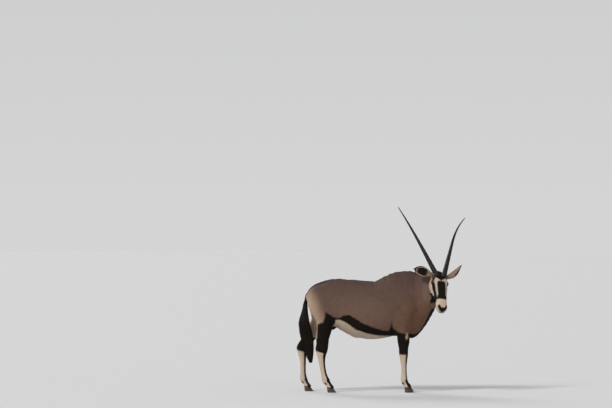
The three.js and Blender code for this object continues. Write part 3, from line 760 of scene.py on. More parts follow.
# The lie of the coat: from the nose back over the head and neck, back along the trunk, down the legs
def lie(p, n):
    neck = along_rows(NECK, p, side=None)
    body = np.tile([-1.0, 0.0, -0.42], (len(p), 1))
    body[:, 2] += 0.5 * smooth(-0.2, -0.8, n[:, 2]) - 0.4 * smooth(430, 560, p[:, 0])
    buttock = smooth(-330, -480, p[:, 0]) * smooth(1080, 900, p[:, 2])
    body = mix(body, np.array([-0.35, 0, -1.0]), buttock[:, None])
    nape = -neck["heading"] + [0, 0, -0.35]
    flow = mix(body, nape, smooth(470, 600, p[:, 0])[:, None])
    for name in LEGS:
        place = along_leg(name, p)
        member = on_leg(name, p, place) * smooth(680, 560, p[:, 2])
        flow = mix(flow, place["heading"] + [-0.12, 0, 0], member[:, None])
    q = to_head(p)
    headness = smooth(*HEAD_PLANE, p @ FACING)
    face = np.tile([-1.0, 0.0, 0.0], (len(p), 1))
    face[:, 1] = 0.5 * np.sign(q[:, 1]) * smooth(260, 120, q[:, 0])
    face[:, 2] = -0.35 * smooth(-40, -120, q[:, 2])
    flow = mix(flow, face @ HEAD_AXES, headness[:, None])
    dock = (smooth(-515, -545, p[:, 0]) * (np.abs(p[:, 1]) < 50) * (p[:, 2] > 770))[:, None]
    flow = mix(flow, np.array([-0.3, 0, -1.0]), dock)
    flow -= n * np.einsum("ij,ij->i", flow, n)[:, None]
    return unit(flow + 1e-6)


# Meshes
def to_shared(p):
    return (np.asarray(p, float) + FRAME_SHIFT) * MM


def add_object(name, data):
    item = bpy.data.objects.new(name, data)
    bpy.context.scene.collection.objects.link(item)
    return item


def add_mesh(name, p, faces, marks=None, look=None, uv=None):
    """A mesh from places in millimetres and one or more arrays of faces of the same size."""
    faces = faces if isinstance(faces, list) else [faces]
    mesh = bpy.data.meshes.new(name)
    mesh.vertices.add(len(p))
    mesh.vertices.foreach_set("co", to_shared(p).astype(np.float32).ravel())
    corners = np.concatenate([f.ravel() for f in faces])
    sizes = np.concatenate([np.full(len(f), f.shape[1]) for f in faces])
    mesh.loops.add(len(corners))
    mesh.loops.foreach_set("vertex_index", corners.astype(np.int32))
    mesh.polygons.add(len(sizes))
    starts = np.concatenate([[0], np.cumsum(sizes)[:-1]])
    mesh.polygons.foreach_set("loop_start", starts.astype(np.int32))
    mesh.update(calc_edges=True)
    mesh.polygons.foreach_set("use_smooth", np.full(len(sizes), True))
    for key, values in (marks or {}).items():
        mesh.attributes.new(key, "FLOAT", "POINT").data.foreach_set("value", values.astype(np.float32))
    if uv is not None:
        layer = mesh.uv_layers.new(name="OFBake")
        layer.data.foreach_set("uv", uv[corners].astype(np.float32).ravel())
    if look:
        mesh.materials.append(look)
    return add_object(name, mesh)


def finish_piece(piece, slot, *nodes):
    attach(piece, "root")
    if nodes:
        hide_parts(*nodes)


def grid_faces(rows, around, closed=True):
    """Quads over a grid of rows, each with `around` places, that close into tubes."""
    k = np.arange(around if closed else around - 1)
    i = np.arange(rows - 1)[:, None]
    a, b = i * around + k, i * around + (k + 1) % around
    return np.stack([a, b, b + around, a + around], axis=-1).reshape(-1, 4)


def tube_faces(rows, around):
    """A closed tube: its wall, the end over its first ring and the end over its last."""
    first = np.arange(around)[None]
    return [grid_faces(rows, around), first[:, ::-1], first + (rows - 1) * around]


# Materials
class Nodes:
    """A short way to write a material or a sky: each call adds a node and gives back one of its outputs."""

    def __init__(self, owner):
        self.owner = owner
        owner.use_nodes = True
        self.tree = owner.node_tree

    def put(self, socket, value):
        if isinstance(value, bpy.types.NodeSocket):
            self.tree.links.new(value, socket)
        elif isinstance(value, tuple) and len(value) == 3 and socket.type == "RGBA":
            socket.default_value = (*value, 1.0)
        else:
            socket.default_value = value

    def add(self, kind, inputs=(), output=0, **settings):
        node = self.tree.nodes.new("ShaderNode" + kind)
        for key, value in settings.items():
            setattr(node, key, value)
        for key, value in dict(inputs).items():
            self.put(node.inputs[key], value)
        return node.outputs[output]

    def attribute(self, name):
        return self.add("Attribute", attribute_name=name, output="Fac")

    def noise(self, scale, detail=2.0):
        place = self.add("Mapping", {"Vector": self.add("TexCoord", output="Object"), "Scale": scale})
        return self.add("TexNoise", {"Vector": place, "Scale": 1.0, "Detail": detail, "Roughness": 0.5})

    def math(self, operation, a, b=0.0, c=0.0):
        return self.add("Math", {0: a, 1: b, 2: c}, operation=operation)

    def ramp(self, value, low, high, start=0.0, end=1.0):
        inputs = {"Value": value, "From Min": low, "From Max": high, "To Min": start, "To Max": end}
        return self.add("MapRange", inputs, interpolation_type="SMOOTHSTEP")

    def blend(self, share, a, b):
        return self.add("Mix", {0: share, 6: a, 7: b}, output=2, data_type="RGBA")

    def bump(self, height, distance, strength, normal=None):
        inputs = {"Height": height, "Distance": distance, "Strength": strength}
        if normal:
            inputs["Normal"] = normal
        return self.add("Bump", inputs)

    def finish(self, **sockets):
        for key, value in sockets.items():
            self.put(self.tree.nodes["Principled BSDF"].inputs[SOCKETS[key]], value)
        return self.owner


SOCKETS = {
    "colour": "Base Color", "roughness": "Roughness", "normal": "Normal", "specular": "Specular IOR Level",
    "sheen": "Sheen Weight", "sheen_roughness": "Sheen Roughness", "coat": "Coat Weight",
    "coat_roughness": "Coat Roughness",
}
GREY_LIGHT, GREY_DARK = (0.172, 0.104, 0.078), (0.093, 0.058, 0.047)
# The warm fur colour below is painted warm bounce light from the ground, not a tone of the coat
BOUNCE_LIT_FUR = (0.152, 0.080, 0.047)
PALE_FUR, WHITE_FUR = (0.56, 0.41, 0.29), (0.53, 0.425, 0.32)
BLACK_FUR, BROWN_FUR = (0.0065, 0.0048, 0.0040), (0.021, 0.013, 0.009)


def coat_colour(m, tuft):
    """The coat's colour at a place, from the marks that the mesh carries there, painted light and shade among
    them.
    """
    ragged = m.math("MULTIPLY_ADD", m.noise((90, 90, 90), detail=3), 0.16, -0.08)
    fine = m.noise((520, 520, 260))
    broad = m.noise((5, 5, 7), detail=3)
    # Painted shade: the 'dark' mark darkens the grey-brown over the back, neck and head where the coat is in
    # shadow; the broad and fine noise add the coat's own random tone
    shade = m.math("MULTIPLY_ADD", m.attribute("dark"), 0.62, m.math("MULTIPLY", broad, 0.35))
    shade = m.math("ADD", shade, m.math("MULTIPLY_ADD", fine, 0.22, -0.16))
    colour = m.blend(m.ramp(shade, 0.0, 1.0), GREY_LIGHT, GREY_DARK)
    # Painted warm bounce light: the 'warm' mark tints the lower chest and shoulders as if lit from the ground
    # below
    warm = m.math("MULTIPLY", m.attribute("warm"), m.ramp(broad, 0.3, 0.7, 0.65, 0.95))
    colour = m.blend(warm, colour, BOUNCE_LIT_FUR)
    pale = m.math("MULTIPLY", m.attribute("pale"), m.ramp(broad, 0.2, 0.7, 0.8, 1.0))
    colour = m.blend(pale, colour, PALE_FUR)
    white = m.ramp(m.math("ADD", m.attribute("white"), ragged), -0.09, 0.09, 1.0, 0.0)
    colour = m.blend(white, colour, m.blend(m.ramp(fine, 0.3, 0.8, 0.0, 0.3), WHITE_FUR, PALE_FUR))
    black = m.ramp(m.math("ADD", m.attribute("black"), ragged), -0.06, 0.06, 1.0, 0.0)
    colour = m.blend(black, colour, m.blend(m.ramp(fine, 0.35, 0.9), BLACK_FUR, BROWN_FUR))
    if tuft:
        value = m.math("MULTIPLY_ADD", m.attribute("tint"), 0.34, 0.86)
        colour = m.add("HueSaturation", {"Color": colour, "Value": value})
    return colour


def coat_material(name, tuft=False):
    m = Nodes(bpy.data.materials.new(name))
    m.finish(colour=coat_colour(m, tuft), roughness=0.8, specular=0.07, sheen=0.03, sheen_roughness=0.5)
    if not tuft:
        body_hair = m.noise((90, 460, 330), detail=3)
        leg_hair = m.noise((460, 460, 90), detail=3)
        height = m.add("Mix", {0: m.attribute("upright"), 2: body_hair, 3: leg_hair})
        clumps = m.bump(m.noise((26, 70, 55), detail=3), 0.003, 0.25)
        m.finish(normal=m.bump(height, 0.0016, 0.5, clumps))
    return m.owner


def eye_material():
    m = Nodes(bpy.data.materials.new("eye_ball"))
    iris = m.blend(m.noise((900, 900, 900)), (0.009, 0.004, 0.002), (0.020, 0.009, 0.004))
    colour = m.blend(m.attribute("pupil"), (0.004, 0.003, 0.002), iris)
    colour = m.blend(m.attribute("core"), colour, (0.002, 0.002, 0.003))
    return m.finish(colour=colour, roughness=0.3, specular=0.2, coat=0.35, coat_roughness=0.04)


def horn_material():
    m = Nodes(bpy.data.materials.new("horn_keratin"))
    grain = m.noise((60, 60, 9), detail=4)
    worn = m.math("MULTIPLY_ADD", m.noise((14, 14, 14), detail=3), 0.5, m.attribute("worn"))
    colour = m.blend(m.ramp(grain, 0.3, 0.75), (0.006, 0.0048, 0.0042), (0.020, 0.014, 0.011))
    colour = m.blend(m.ramp(worn, 0.35, 1.15, 0.0, 0.7), colour, (0.050, 0.034, 0.025))
    streaks = m.bump(m.noise((420, 420, 30), detail=3), 0.0012, 0.5)
    rough = m.ramp(grain, 0.2, 0.8, 0.45, 0.7)
    return m.finish(colour=colour, roughness=rough, normal=streaks, specular=0.2)


def hoof_material():
    m = Nodes(bpy.data.materials.new("hoof_keratin"))
    bands = m.noise((30, 30, 260), detail=3)
    colour = m.blend(m.ramp(bands, 0.3, 0.75), (0.016, 0.013, 0.011), (0.060, 0.046, 0.036))
    dusty = m.ramp(m.noise((40, 40, 40), detail=4), 0.45, 0.75, 0.0, 0.45)
    colour = m.blend(dusty, colour, (0.16, 0.12, 0.09))
    streaks = m.bump(m.noise((500, 500, 70), detail=3), 0.0008, 0.5)
    return m.finish(colour=colour, roughness=m.ramp(bands, 0.2, 0.8, 0.42, 0.66), normal=streaks)


def hair_material(name, dark, light):
    """Long hair, a little lighter towards its tips and from one lock to the next."""
    m = Nodes(bpy.data.materials.new(name))
    share = m.math("MULTIPLY_ADD", m.attribute("tint"), 0.6, m.math("MULTIPLY", m.attribute("tip"), 0.4))
    colour = m.blend(share, dark, light)
    return m.finish(colour=colour, roughness=0.6, specular=0.15, sheen=0.03)


def floor_material():
    m = Nodes(bpy.data.materials.new("studio_floor"))
    tone = m.blend(m.noise((3, 3, 3), detail=4), (0.584, 0.579, 0.572), (0.604, 0.599, 0.592))
    return m.finish(colour=tone, roughness=0.85)


# The skin
CORONET = {"height": 39.0, "slope": 0.22, "sunk": 5.0}
FOOT_BOX = (100, 90, 110)  # how far from its middle on the floor a foot's skin may lie


def foot_middle(name):
    rows, side = LEGS[name]
    return rows[-1][0] + 4, side * rows[-1][1]


def end_feet(p, d):
    """The skin ends a little way inside the hooves, on the sloping plane of each coronet."""
    for name in LEGS:
        x, y = foot_middle(name)
        foot = np.nonzero((np.abs(p - [x, y, 0]) < FOOT_BOX).all(1))[0]
        level = CORONET["height"] - CORONET["sunk"] + CORONET["slope"] * (p[foot, 0] - x)
        d[foot] = np.maximum(d[foot], level - p[foot, 2])
    return d


def relief(p, n):
    """Small forms under the coat that the solids leave out, as heights over the skin."""
    x, z = p[:, 0], p[:, 2]
    side = smooth(0.25, 0.7, np.abs(n[:, 1]))
    ribs = np.sin((x + 0.25 * (z - 800)) / 10.5) * smooth(-150, -60, x) * smooth(270, 190, x)
    ribs *= smooth(600, 680, z) * smooth(960, 860, z) * side * 0.9
    flank = -7 * bell((x + 232) / 34, (z - 770) / 120) * side
    hip = 6 * bell((x + 350) / 38, (z - 1066) / 30)
    elbow = 5 * bell((x - 300) / 24, (z - 668) / 30) * side
    arm = -5 * bell((x - 392 + 0.5 * (z - 760)) / 20, (z - 780) / 90) * side
    neck = along_rows(NECK, p, side=None)
    at, ahead = neck["row"][:, 0], neck["ahead"] / neck["row"][:, 4]
    inner = smooth(0, -60, neck["across"]) * smooth(560, 610, at) * smooth(700, 680, at)
    folds = 0.8 * np.sin((at - 0.12 * neck["ahead"]) / 7) * inner * smooth(0.8, 0.2, ahead)
    away = neck["away"] < 150
    return ribs + flank + hip + elbow + arm + np.where(away, folds, 0)


def skin_shape():
    flesh = flesh_shape()
    return lambda p: end_feet(p, flesh(p) + coat_depth(p))


def body_skin():
    shape = skin_shape()
    value, low = sample(shape)
    cells, quads = surface_net(value)
    p = settle(shape, lens(low + cells * CELL), 2)
    for _ in range(2):
        p = settle(shape, relax(p, quads, 0.5), 1)
    n = unit(slope(shape, p)[1])
    marks = markings(p, n)
    marks["upright"] = smooth(620, 540, p[:, 2])
    marks["edge"] = marks["hollow"] = 0 * p[:, 2]
    return p + n * relief(p, n)[:, None], quads, marks


# Ears: each row of the cup is the share of the length, the radius and the half angle that it wraps
EAR_CUP = np.array([
    [-0.24, 6, 158], [0, 17, 158], [0.14, 25, 138], [0.32, 42, 106], [0.52, 51, 84],
    [0.72, 49, 66], [0.88, 39, 46], [1, 24, 14],
])
EAR_POSE = {
    "right": {"along": [-0.88, 0.3, 0.3], "opens": [-0.1, -0.92, 0.04]},
    "left": {"along": [0.8, 0.12, 0.58], "opens": [0.58, 0.06, -0.8]},
}
EAR_ROWS, EAR_ACROSS = 40, 34


def ear_place(side, share, across, above):
    """A place on an ear: its share of the length, -1 to 1 across the cup, and out of the cup's back."""
    pose = EAR_POSE[side]
    length_way = unit(pose["along"])
    opens = np.array(pose["opens"])
    opens = unit(opens - length_way * (opens @ length_way))
    wide = np.cross(opens, length_way)
    radius = np.interp(share, EAR_CUP[:, 0], EAR_CUP[:, 1])
    angle = np.radians(np.interp(share, EAR_CUP[:, 0], EAR_CUP[:, 2])) * across
    r = radius + above
    root = from_head(EAR_ROOT * [1, SIDES[side], 1])
    p = root + length_way * (share * EAR_LENGTH)[:, None]
    return p + wide * (r * np.sin(angle))[:, None] + opens * (radius - r * np.cos(angle))[:, None]


def ear_skin(side):
    share = mix(EAR_CUP[0, 0], 1, np.linspace(0, 1, EAR_ROWS) ** 0.9)
    ring = np.linspace(-1, 1, EAR_ACROSS)
    share, ring = (a.ravel() for a in np.meshgrid(share, ring, indexing="ij"))
    thick = 2.1 * mix(1, 0.55, share) * np.sqrt(np.clip(1 - ring**6, 0.02, 1))
    ridges = 0.9 * np.cos(ring * 9.5) * smooth(0.1, 0.3, share) * smooth(1, 0.8, np.abs(ring))
    outside = ear_place(side, share, ring, thick)
    inside = ear_place(side, share, ring, -thick - np.maximum(ridges, 0))
    size = len(share)
    grid = grid_faces(EAR_ROWS, EAR_ACROSS, closed=False)
    rim = []
    for k in (0, EAR_ACROSS - 1):
        a = np.arange(EAR_ROWS - 1) * EAR_ACROSS + k
        wall = np.column_stack([a, a + EAR_ACROSS, a + EAR_ACROSS + size, a + size])
        rim.append(wall if k else wall[:, ::-1])
    tip = np.arange(EAR_ACROSS - 1) + (EAR_ROWS - 1) * EAR_ACROSS
    cap = np.column_stack([tip, tip + size, tip + 1 + size, tip + 1])
    faces = np.vstack([grid[:, ::-1], grid + size] + rim + [cap])
    return np.vstack([outside, inside]), faces, ear_marks(np.tile(share, 2), np.tile(ring, 2))


def ear_marks(share, ring):
    """The marks on both faces of an ear: the outside first, and then the inside."""
    edge = np.abs(ring)
    hollow = np.arange(len(share)) >= len(share) // 2
    tip = (0.81 - share) * 200 + 18 * (1 - edge)
    rim = both((0.77 - edge) * 60, (0.4 - share) * 100)
    # The pit: black over the deep middle of the cup's hollow, partly the dark hair inside the ear and partly
    # painted shade in the hollow
    pit = both((edge - 0.61) * 50, (np.abs(share - 0.54) - 0.27) * 100)
    none = 0 * edge
    return {
        "black": np.where(hollow, either(tip, rim, pit), either(tip, rim)) / 100,
        "white": np.where(hollow, np.minimum((0.7 - edge) * 60, 20), 20) / 100,
        "pale": 0.28 + none, "dark": 0.45 + none, "warm": 0.3 + none,
        "upright": none, "edge": edge, "hollow": share * hollow,
    }


UNWRAP = {"angle": 66.0, "margin": 0.001}


def unwrap(piece):
    """The skin's own unwrap, in a UV layer named OFBake."""
    bpy.context.view_layer.objects.active = piece
    piece.select_set(True)
    piece.data.uv_layers.new(name="OFBake")
    bpy.ops.object.mode_set(mode="EDIT")
    bpy.ops.mesh.select_all(action="SELECT")
    bpy.ops.uv.smart_project(angle_limit=math.radians(UNWRAP["angle"]), island_margin=UNWRAP["margin"])
    bpy.ops.object.mode_set(mode="OBJECT")
    piece.select_set(False)


def corner_normals(p, quads):
    """Each place's normal, from the quads that meet there."""
    a, b, c, d = (p[quads[:, k]] for k in range(4))
    face = np.cross(c - a, d - b)
    total = np.zeros_like(p)
    for k in range(4):
        for m in range(3):
            total[:, m] += np.bincount(quads[:, k], face[:, m], len(p))
    return unit(total + 1e-9)


def make_skin():
    parts = [body_skin()] + [ear_skin(side) for side in EAR_POSE]
    places, faces, marks, start = [], [], {}, 0
    for p, quads, part_marks in parts:
        places.append(p)
        faces.append(quads + start)
        start += len(p)
        for key, values in part_marks.items():
            marks.setdefault(key, []).append(values)
    marks = {key: np.concatenate(values) for key, values in marks.items()}
    of_ears = {key: marks.pop(key) for key in ("edge", "hollow")}
    of_ears["ear"] = np.arange(start) >= len(parts[0][0])
    p, quads = np.vstack(places), np.vstack(faces)
    skin = add_mesh("skin", p, quads, marks, coat_material("coat_skin"))
    unwrap(skin)
    flesh = ["trunk", "neck", "head", "ear_left", "ear_right", "tail"]
    flesh += [f"{name}_{part}" for name in LEGS for part in ("upper", "lower")]
    finish_piece(skin, "coat", *flesh)
    uv = np.empty(8 * len(quads), np.float32)
    skin.data.uv_layers["OFBake"].data.foreach_get("uv", uv)
    normals = corner_normals(p, quads)
    return {"p": p, "n": normals, "quads": quads, "uv": uv.reshape(-1, 4, 2), "marks": marks, **of_ears}


# Eyes, horns and hooves
def ball(rows, around):
    """A ball's places and faces, with its poles on z."""
    down = np.linspace(0, math.pi, rows)[:, None]
    turn = np.linspace(0, 2 * math.pi, around, endpoint=False)[None]
    p = np.stack([np.sin(down) * np.cos(turn), np.sin(down) * np.sin(turn), np.cos(down) + 0 * turn], -1)
    return p.reshape(-1, 3), grid_faces(rows, around)[:, ::-1]


def make_eyes(look):
    p, faces = ball(40, 48)
    along, up = p[:, 0], p[:, 1]
    for name, side in SIDES.items():
        axes = EYE_AXES * [1, side, 1]
        bulge = 1 + 0.025 * smooth(0.6, 0.98, p[:, 2])[:, None]
        places = from_head(EYE_PLACE * [1, side, 1] + EYE_RADIUS * bulge * (p @ axes))
        marks = {
            "pupil": smooth(0.62, 0.52, np.hypot(along, up)) * (p[:, 2] > 0),
            "core": smooth(1.1, 0.9, np.hypot(along / 0.34, up / 0.19)) * (p[:, 2] > 0),
        }
        ordered = faces if side > 0 else faces[:, ::-1]
        finish_piece(add_mesh(f"eyeball_{name}", places, ordered, marks, look), "eye", f"eye_{name}")


HORN_RINGS = {"count": 23, "share": 0.62, "height": 2.1}
HORN_STEPS, HORN_AROUND = 300, 28
HORN_SUNK = 18.0


def horn_axis(side):
    """The horn's middle line, walked from its root, with its radius at each step."""
    sign = SIDES[side]
    root_spread, tip_spread = HORN_SPREAD[side]
    s = np.linspace(0, 1, HORN_STEPS)
    spread = np.radians(mix(root_spread, tip_spread, np.maximum(0, 2 * s - 1) ** 1.3))
    back = np.radians(HORN_BACK + 4 * s)
    up = np.cos(spread)
    way = np.column_stack([-np.cos(back) * up, sign * np.sin(spread), -np.sin(back) * up])
    steps = np.vstack([np.zeros(3), way[:-1] * HORN_LENGTH / (HORN_STEPS - 1)])
    radius = mix(HORN_BASE_RADIUS, HORN_TIP_RADIUS, s**0.9)
    middle = HORN_ROOT * [1, sign, 1] + np.cumsum(steps, axis=0)
    middle[0] -= way[0] * HORN_SUNK
    return s, middle, way, radius


def horn_lift(s, turn):
    """How far the rings stand out at each step and turn, and how much of them there is at each step."""
    ringed = smooth(HORN_RINGS["share"], HORN_RINGS["share"] - 0.12, s) * smooth(0, 0.03, s)
    phase = (s / HORN_RINGS["share"]) ** 0.9 * HORN_RINGS["count"]
    tooth = phase % 1
    ring = smooth(0, 0.62, tooth) * smooth(1.0, 0.8, tooth) * HORN_RINGS["height"]
    uneven = 1 + 0.3 * np.sin(turn + phase[:, None] * 2.4)
    return (ring * ringed)[:, None] * (0.75 + 0.35 * np.sin(turn)) * uneven, ringed[:, None]


def make_horns(look):
    turn = np.linspace(0, 2 * math.pi, HORN_AROUND, endpoint=False)
    for name in HORN_SPREAD:
        s, middle, way, radius = horn_axis(name)
        across = unit(np.array([0, 1.0, 0]) - way * way[:, 1:2])
        front = np.cross(way, across)
        front *= np.sign(front[:, 2:3])
        lift, ringed = horn_lift(s, turn)
        flutes = 0.35 * np.sin(turn * 11 + 3 * s[:, None]) * (1 - s[:, None])
        tip = np.clip((1 - s) / 0.012, 0.02, 1)[:, None] ** 0.5
        r = (radius[:, None] - 1.2 * ringed + lift + flutes) * tip
        round_way = np.cos(turn)[:, None] * across[:, None] + np.sin(turn)[:, None] * front[:, None]
        p = middle[:, None] + r[..., None] * round_way
        worn = np.repeat(smooth(0.3, 0.9, s) * 0.25, HORN_AROUND) + (lift * 0.16).ravel()
        faces = tube_faces(HORN_STEPS, HORN_AROUND)
        if np.cross(across[0], front[0]) @ way[0] < 0:
            faces = [f[:, ::-1] for f in faces]
        horn = add_mesh(f"horn_ringed_{name}", from_head(p.reshape(-1, 3)), faces, {"worn": worn}, look)
        finish_piece(horn, "horn", f"horn_{name}")


HOOF = {"length": 88.0, "width": 34.0, "inner": 0.38, "gap": 1.2, "height": 46.0, "heel": 27.0}
HOOF_ROWS, HOOF_AROUND = 26, 44
DEWCLAW = {"radius": 10.0, "length": 15.0, "height": 91.0, "behind": 54.0, "apart": 16.0, "tilt": 50.0}


def claw(x, y, outward):
    """One claw: a wedge with a flat sole, a straight inner wall, a curved outer wall and growth rings."""
    up = np.linspace(0, 1, HOOF_ROWS)[:, None]
    angle = np.linspace(0, 2 * math.pi, HOOF_AROUND, endpoint=False)[None]
    c, n = np.cos(angle), np.sin(angle)
    toe = HOOF["length"] * np.where(c > 0, mix(0.62, 0.3, up), mix(0.38, 0.36, up))
    narrow = 1 - 0.5 * np.maximum(c, 0) ** 2
    outer = n * outward > 0
    width = HOOF["width"] * np.where(outer, mix(0.62, 0.5, up), HOOF["inner"])
    rings = 0.7 * np.sin(up * 30 + 0.6 * c) * outer * np.abs(n) * smooth(0, 0.1, up)
    round_edge = 1 - 0.06 * (1 - smooth(0, 0.12, up))
    height = mix(HOOF["heel"], HOOF["height"], (c + 1) / 2)
    level = up * np.minimum(height, CORONET["height"] + CORONET["slope"] * c * toe - 0.6)
    p = np.stack([
        x + c * toe * round_edge - 6 * up + 0 * n,
        y + (n * width * narrow + np.sign(n) * rings) * round_edge,
        level,
    ], axis=-1)
    return p.reshape(-1, 3)


def make_hooves(look):
    faces = tube_faces(HOOF_ROWS, HOOF_AROUND)
    bud, bud_faces = ball(18, 20)
    tilt = math.radians(DEWCLAW["tilt"])
    c, s = math.cos(tilt), math.sin(tilt)
    long_way, across, thick = (bud * [DEWCLAW["length"], DEWCLAW["radius"], DEWCLAW["radius"]]).T
    turned = np.column_stack([long_way * c + thick * s, across, thick * c - long_way * s])
    turned *= 1 + 0.03 * np.sin(bud[:, :1] * 14)
    for name, (_, side) in LEGS.items():
        x, y = foot_middle(name)
        for which, outward in (("outer", side), ("inner", -side)):
            places = claw(x, y + outward * (HOOF["width"] * HOOF["inner"] + HOOF["gap"]), outward)
            piece = add_mesh(f"claw_{name}_{which}", places, faces, look=look)
            finish_piece(piece, "hoof", f"hoof_{name}_{which}")
            at = [x - DEWCLAW["behind"], y + outward * DEWCLAW["apart"], DEWCLAW["height"]]
            piece = add_mesh(f"spur_{name}_{which}", turned + at, bud_faces, look=look)
            finish_piece(piece, "hoof", f"dewclaw_{name}_{which}")


# The coat: roots scattered over the skin, and the tufts and locks that grow from them
def scatter(skin, weight, count, rng):
    """Evenly spread places on the skin where the weight is above nothing, with all that it carries there."""
    tri = np.vstack([skin["quads"][:, [0, 1, 2]], skin["quads"][:, [0, 2, 3]]])
    uv = np.vstack([skin["uv"][:, [0, 1, 2]], skin["uv"][:, [0, 2, 3]]])
    a, b, c = (skin["p"][tri[:, k]] for k in range(3))
    area = np.linalg.norm(np.cross(b - a, c - a), axis=1) * weight[tri].mean(1)
    total = np.cumsum(area)
    pick = np.searchsorted(total, rng.random(count) * total[-1])
    pick = np.minimum(pick, len(tri) - 1)
    r, t = np.sqrt(rng.random(count)), rng.random(count)
    share = np.column_stack([1 - r, r * (1 - t), r * t])[:, :, None]
    found = {"p": (skin["p"][tri[pick]] * share).sum(1), "n": unit((skin["n"][tri[pick]] * share).sum(1))}
    found["uv"] = (uv[pick] * share).sum(1)
    found["marks"] = {key: (v[tri[pick]] * share[:, :, 0]).sum(1) for key, v in skin["marks"].items()}
    return found


PATCH = 0.0015  # half the width of a tuft's patch on the skin's OFBake map
ROOT_DEPTH, LOCK_DEPTH, TAIL_LOCK_DEPTH = 1.2, 2.0, 3.0  # how deep roots lie under the skin


def blades(name, at, way, length, width, lift, look, rng):
    """Thin ridged tufts, each with a root, a broader middle and a tip, that lie along the body."""
    n, count = at["n"], len(way)
    way = unit(way + np.cross(way, n) * rng.normal(0, 0.17, count)[:, None])
    side = np.cross(way, n)
    half = (width / 2)[:, None]
    ridge = n * (0.17 * width)[:, None]
    root = at["p"] - n * ROOT_DEPTH
    middle = at["p"] + way * (0.5 * length)[:, None] + n * (0.5 * lift)[:, None]
    tip = at["p"] + way * length[:, None] + n * lift[:, None]
    places = np.stack([
        root - side * half * 0.6, root + ridge, root + side * half * 0.6,
        middle - side * half, middle + ridge, middle + side * half, tip,
    ], axis=1).reshape(-1, 3)
    first = np.arange(count)[:, None] * 7
    quads = np.vstack([first + [0, 1, 4, 3], first + [1, 2, 5, 4]])
    tips = np.vstack([first + [3, 4, 6], first + [4, 5, 6]])
    patch = np.array([[-1, -1], [0, -1], [1, -1], [-1, 0], [0, 0], [1, 0], [0, 1]]) * PATCH
    uv = (at["uv"][:, None] + patch).reshape(-1, 2)
    marks = {key: np.repeat(v, 7) for key, v in at["marks"].items() if key != "upright"}
    marks["tint"] = np.repeat(rng.random(count), 7)
    return add_mesh(name, places, [quads, tips], marks, look, uv)


# How many tufts each piece of fur has, and how long and wide they are before they vary
FUR = {
    "head": (32000, 6.0, 1.6), "ears": (9000, 6.0, 1.2), "front": (32000, 17.0, 3.3),
    "rear": (32000, 18.0, 3.4), "forelegs": (26000, 9.0, 2.1), "hindlegs": (32000, 10.0, 2.3),
}
FRONT_FROM, HIND_LEGS_TO = 150.0, -250.0  # along the body
HEAD_FUR_FROM = 340.0  # along the way the head faces
BARE_ROUND_EYE = 26.0


def fur_regions(skin):
    """Where on the skin each piece of fur grows."""
    p, ear = skin["p"], skin["ear"]
    x, z = p[:, 0], p[:, 2]
    head = (p @ FACING > HEAD_FUR_FROM) & ~ear
    legs = (z < 590) & (z > 30) & (np.abs(p[:, 1]) > 40) & ~head
    fore, hind = legs & (x > FRONT_FROM), legs & (x < HIND_LEGS_TO)
    bodied = ~(head | fore | hind | ear)
    eyes = [np.linalg.norm(p - from_head(EYE_PLACE * [1, side, 1]), axis=1) for side in SIDES.values()]
    return {
        "head": head & (np.minimum(*eyes) > BARE_ROUND_EYE), "ears": ear & (skin["edge"] < 0.86),
        "front": bodied & (x > FRONT_FROM), "rear": bodied & (x <= FRONT_FROM),
        "forelegs": fore, "hindlegs": hind,
    }


def fur_growth(name, p):
    """How large the tufts are at each place, as a share of their piece's own size."""
    if name == "head":
        return mix(1.25, 0.62, smooth(40, 400, to_head(p)[:, 0]))
    if name == "front":
        return mix(1.0, 0.44, smooth(190, 340, p @ FACING))
    if name.endswith("legs"):
        return mix(0.75, 1.3, smooth(150, 560, p[:, 2]))
    return 1.0


def make_fur(skin, rng):
    """Short tufts in pieces for the head, ears, body and legs, smallest on the face and feet."""
    look = coat_material("coat_tufts", tuft=True)
    for name, where in fur_regions(skin).items():
        count, length, width = FUR[name]
        at = scatter(skin, where.astype(float), count, rng)
        p, n = at["p"], at["n"]
        vary = rng.uniform(0.75, 1.25, count) * fur_growth(name, p)
        lift = coat_depth(p) * rng.uniform(0.15, 0.55, count)
        way = ear_lie(p, n) if name == "ears" else lie(p, n)
        finish_piece(blades(f"fur_{name}", at, way, length * vary, width * vary, lift, look, rng), "coat")


def of_nearer_ear(p, key):
    """For each place, one of the ways in the pose of the ear that is nearer to it."""
    right, left = (np.linalg.norm(p - from_head(EAR_ROOT * [1, side, 1]), axis=1) for side in (-1, 1))
    return np.where((right < left)[:, None], unit(EAR_POSE["right"][key]), unit(EAR_POSE["left"][key]))


def ear_lie(p, n):
    """Along each ear, from its root to its tip."""
    way = of_nearer_ear(p, "along")
    return unit(way - n * np.einsum("ij,ij->i", way, n)[:, None] + 1e-6)


LOCK_TURNS = (0.0, 2.1, 4.2)
LOCK_WAVE = 0.1


def lock_ring(p, side, up, radius):
    """The three places round each lock at one of its rows."""
    return np.stack([p + (side * math.cos(a) + up * math.sin(a)) * radius for a in LOCK_TURNS], axis=1)


def lock_mesh(name, rings, at, look, rng):
    """Three-sided locks from their rings, each an array of three places for every lock."""
    count, rows = len(at["uv"]), len(rings)
    places = np.stack(rings, axis=1).reshape(-1, 3)
    faces = (np.arange(count)[:, None, None] * 3 * rows + grid_faces(rows, 3)).reshape(-1, 4)
    tip = np.tile(np.repeat(np.linspace(0, 1, rows), 3), count)
    turn = np.tile([-1.0, 0.0, 1.0], rows)
    patch = np.column_stack([turn, np.repeat(np.linspace(-1, 1, rows), 3)]) * PATCH
    uv = (at["uv"][:, None] + patch).reshape(-1, 2)
    marks = {"tip": tip, "tint": np.repeat(rng.random(count), 3 * rows)}
    return add_mesh(name, places, faces, marks, look, uv)


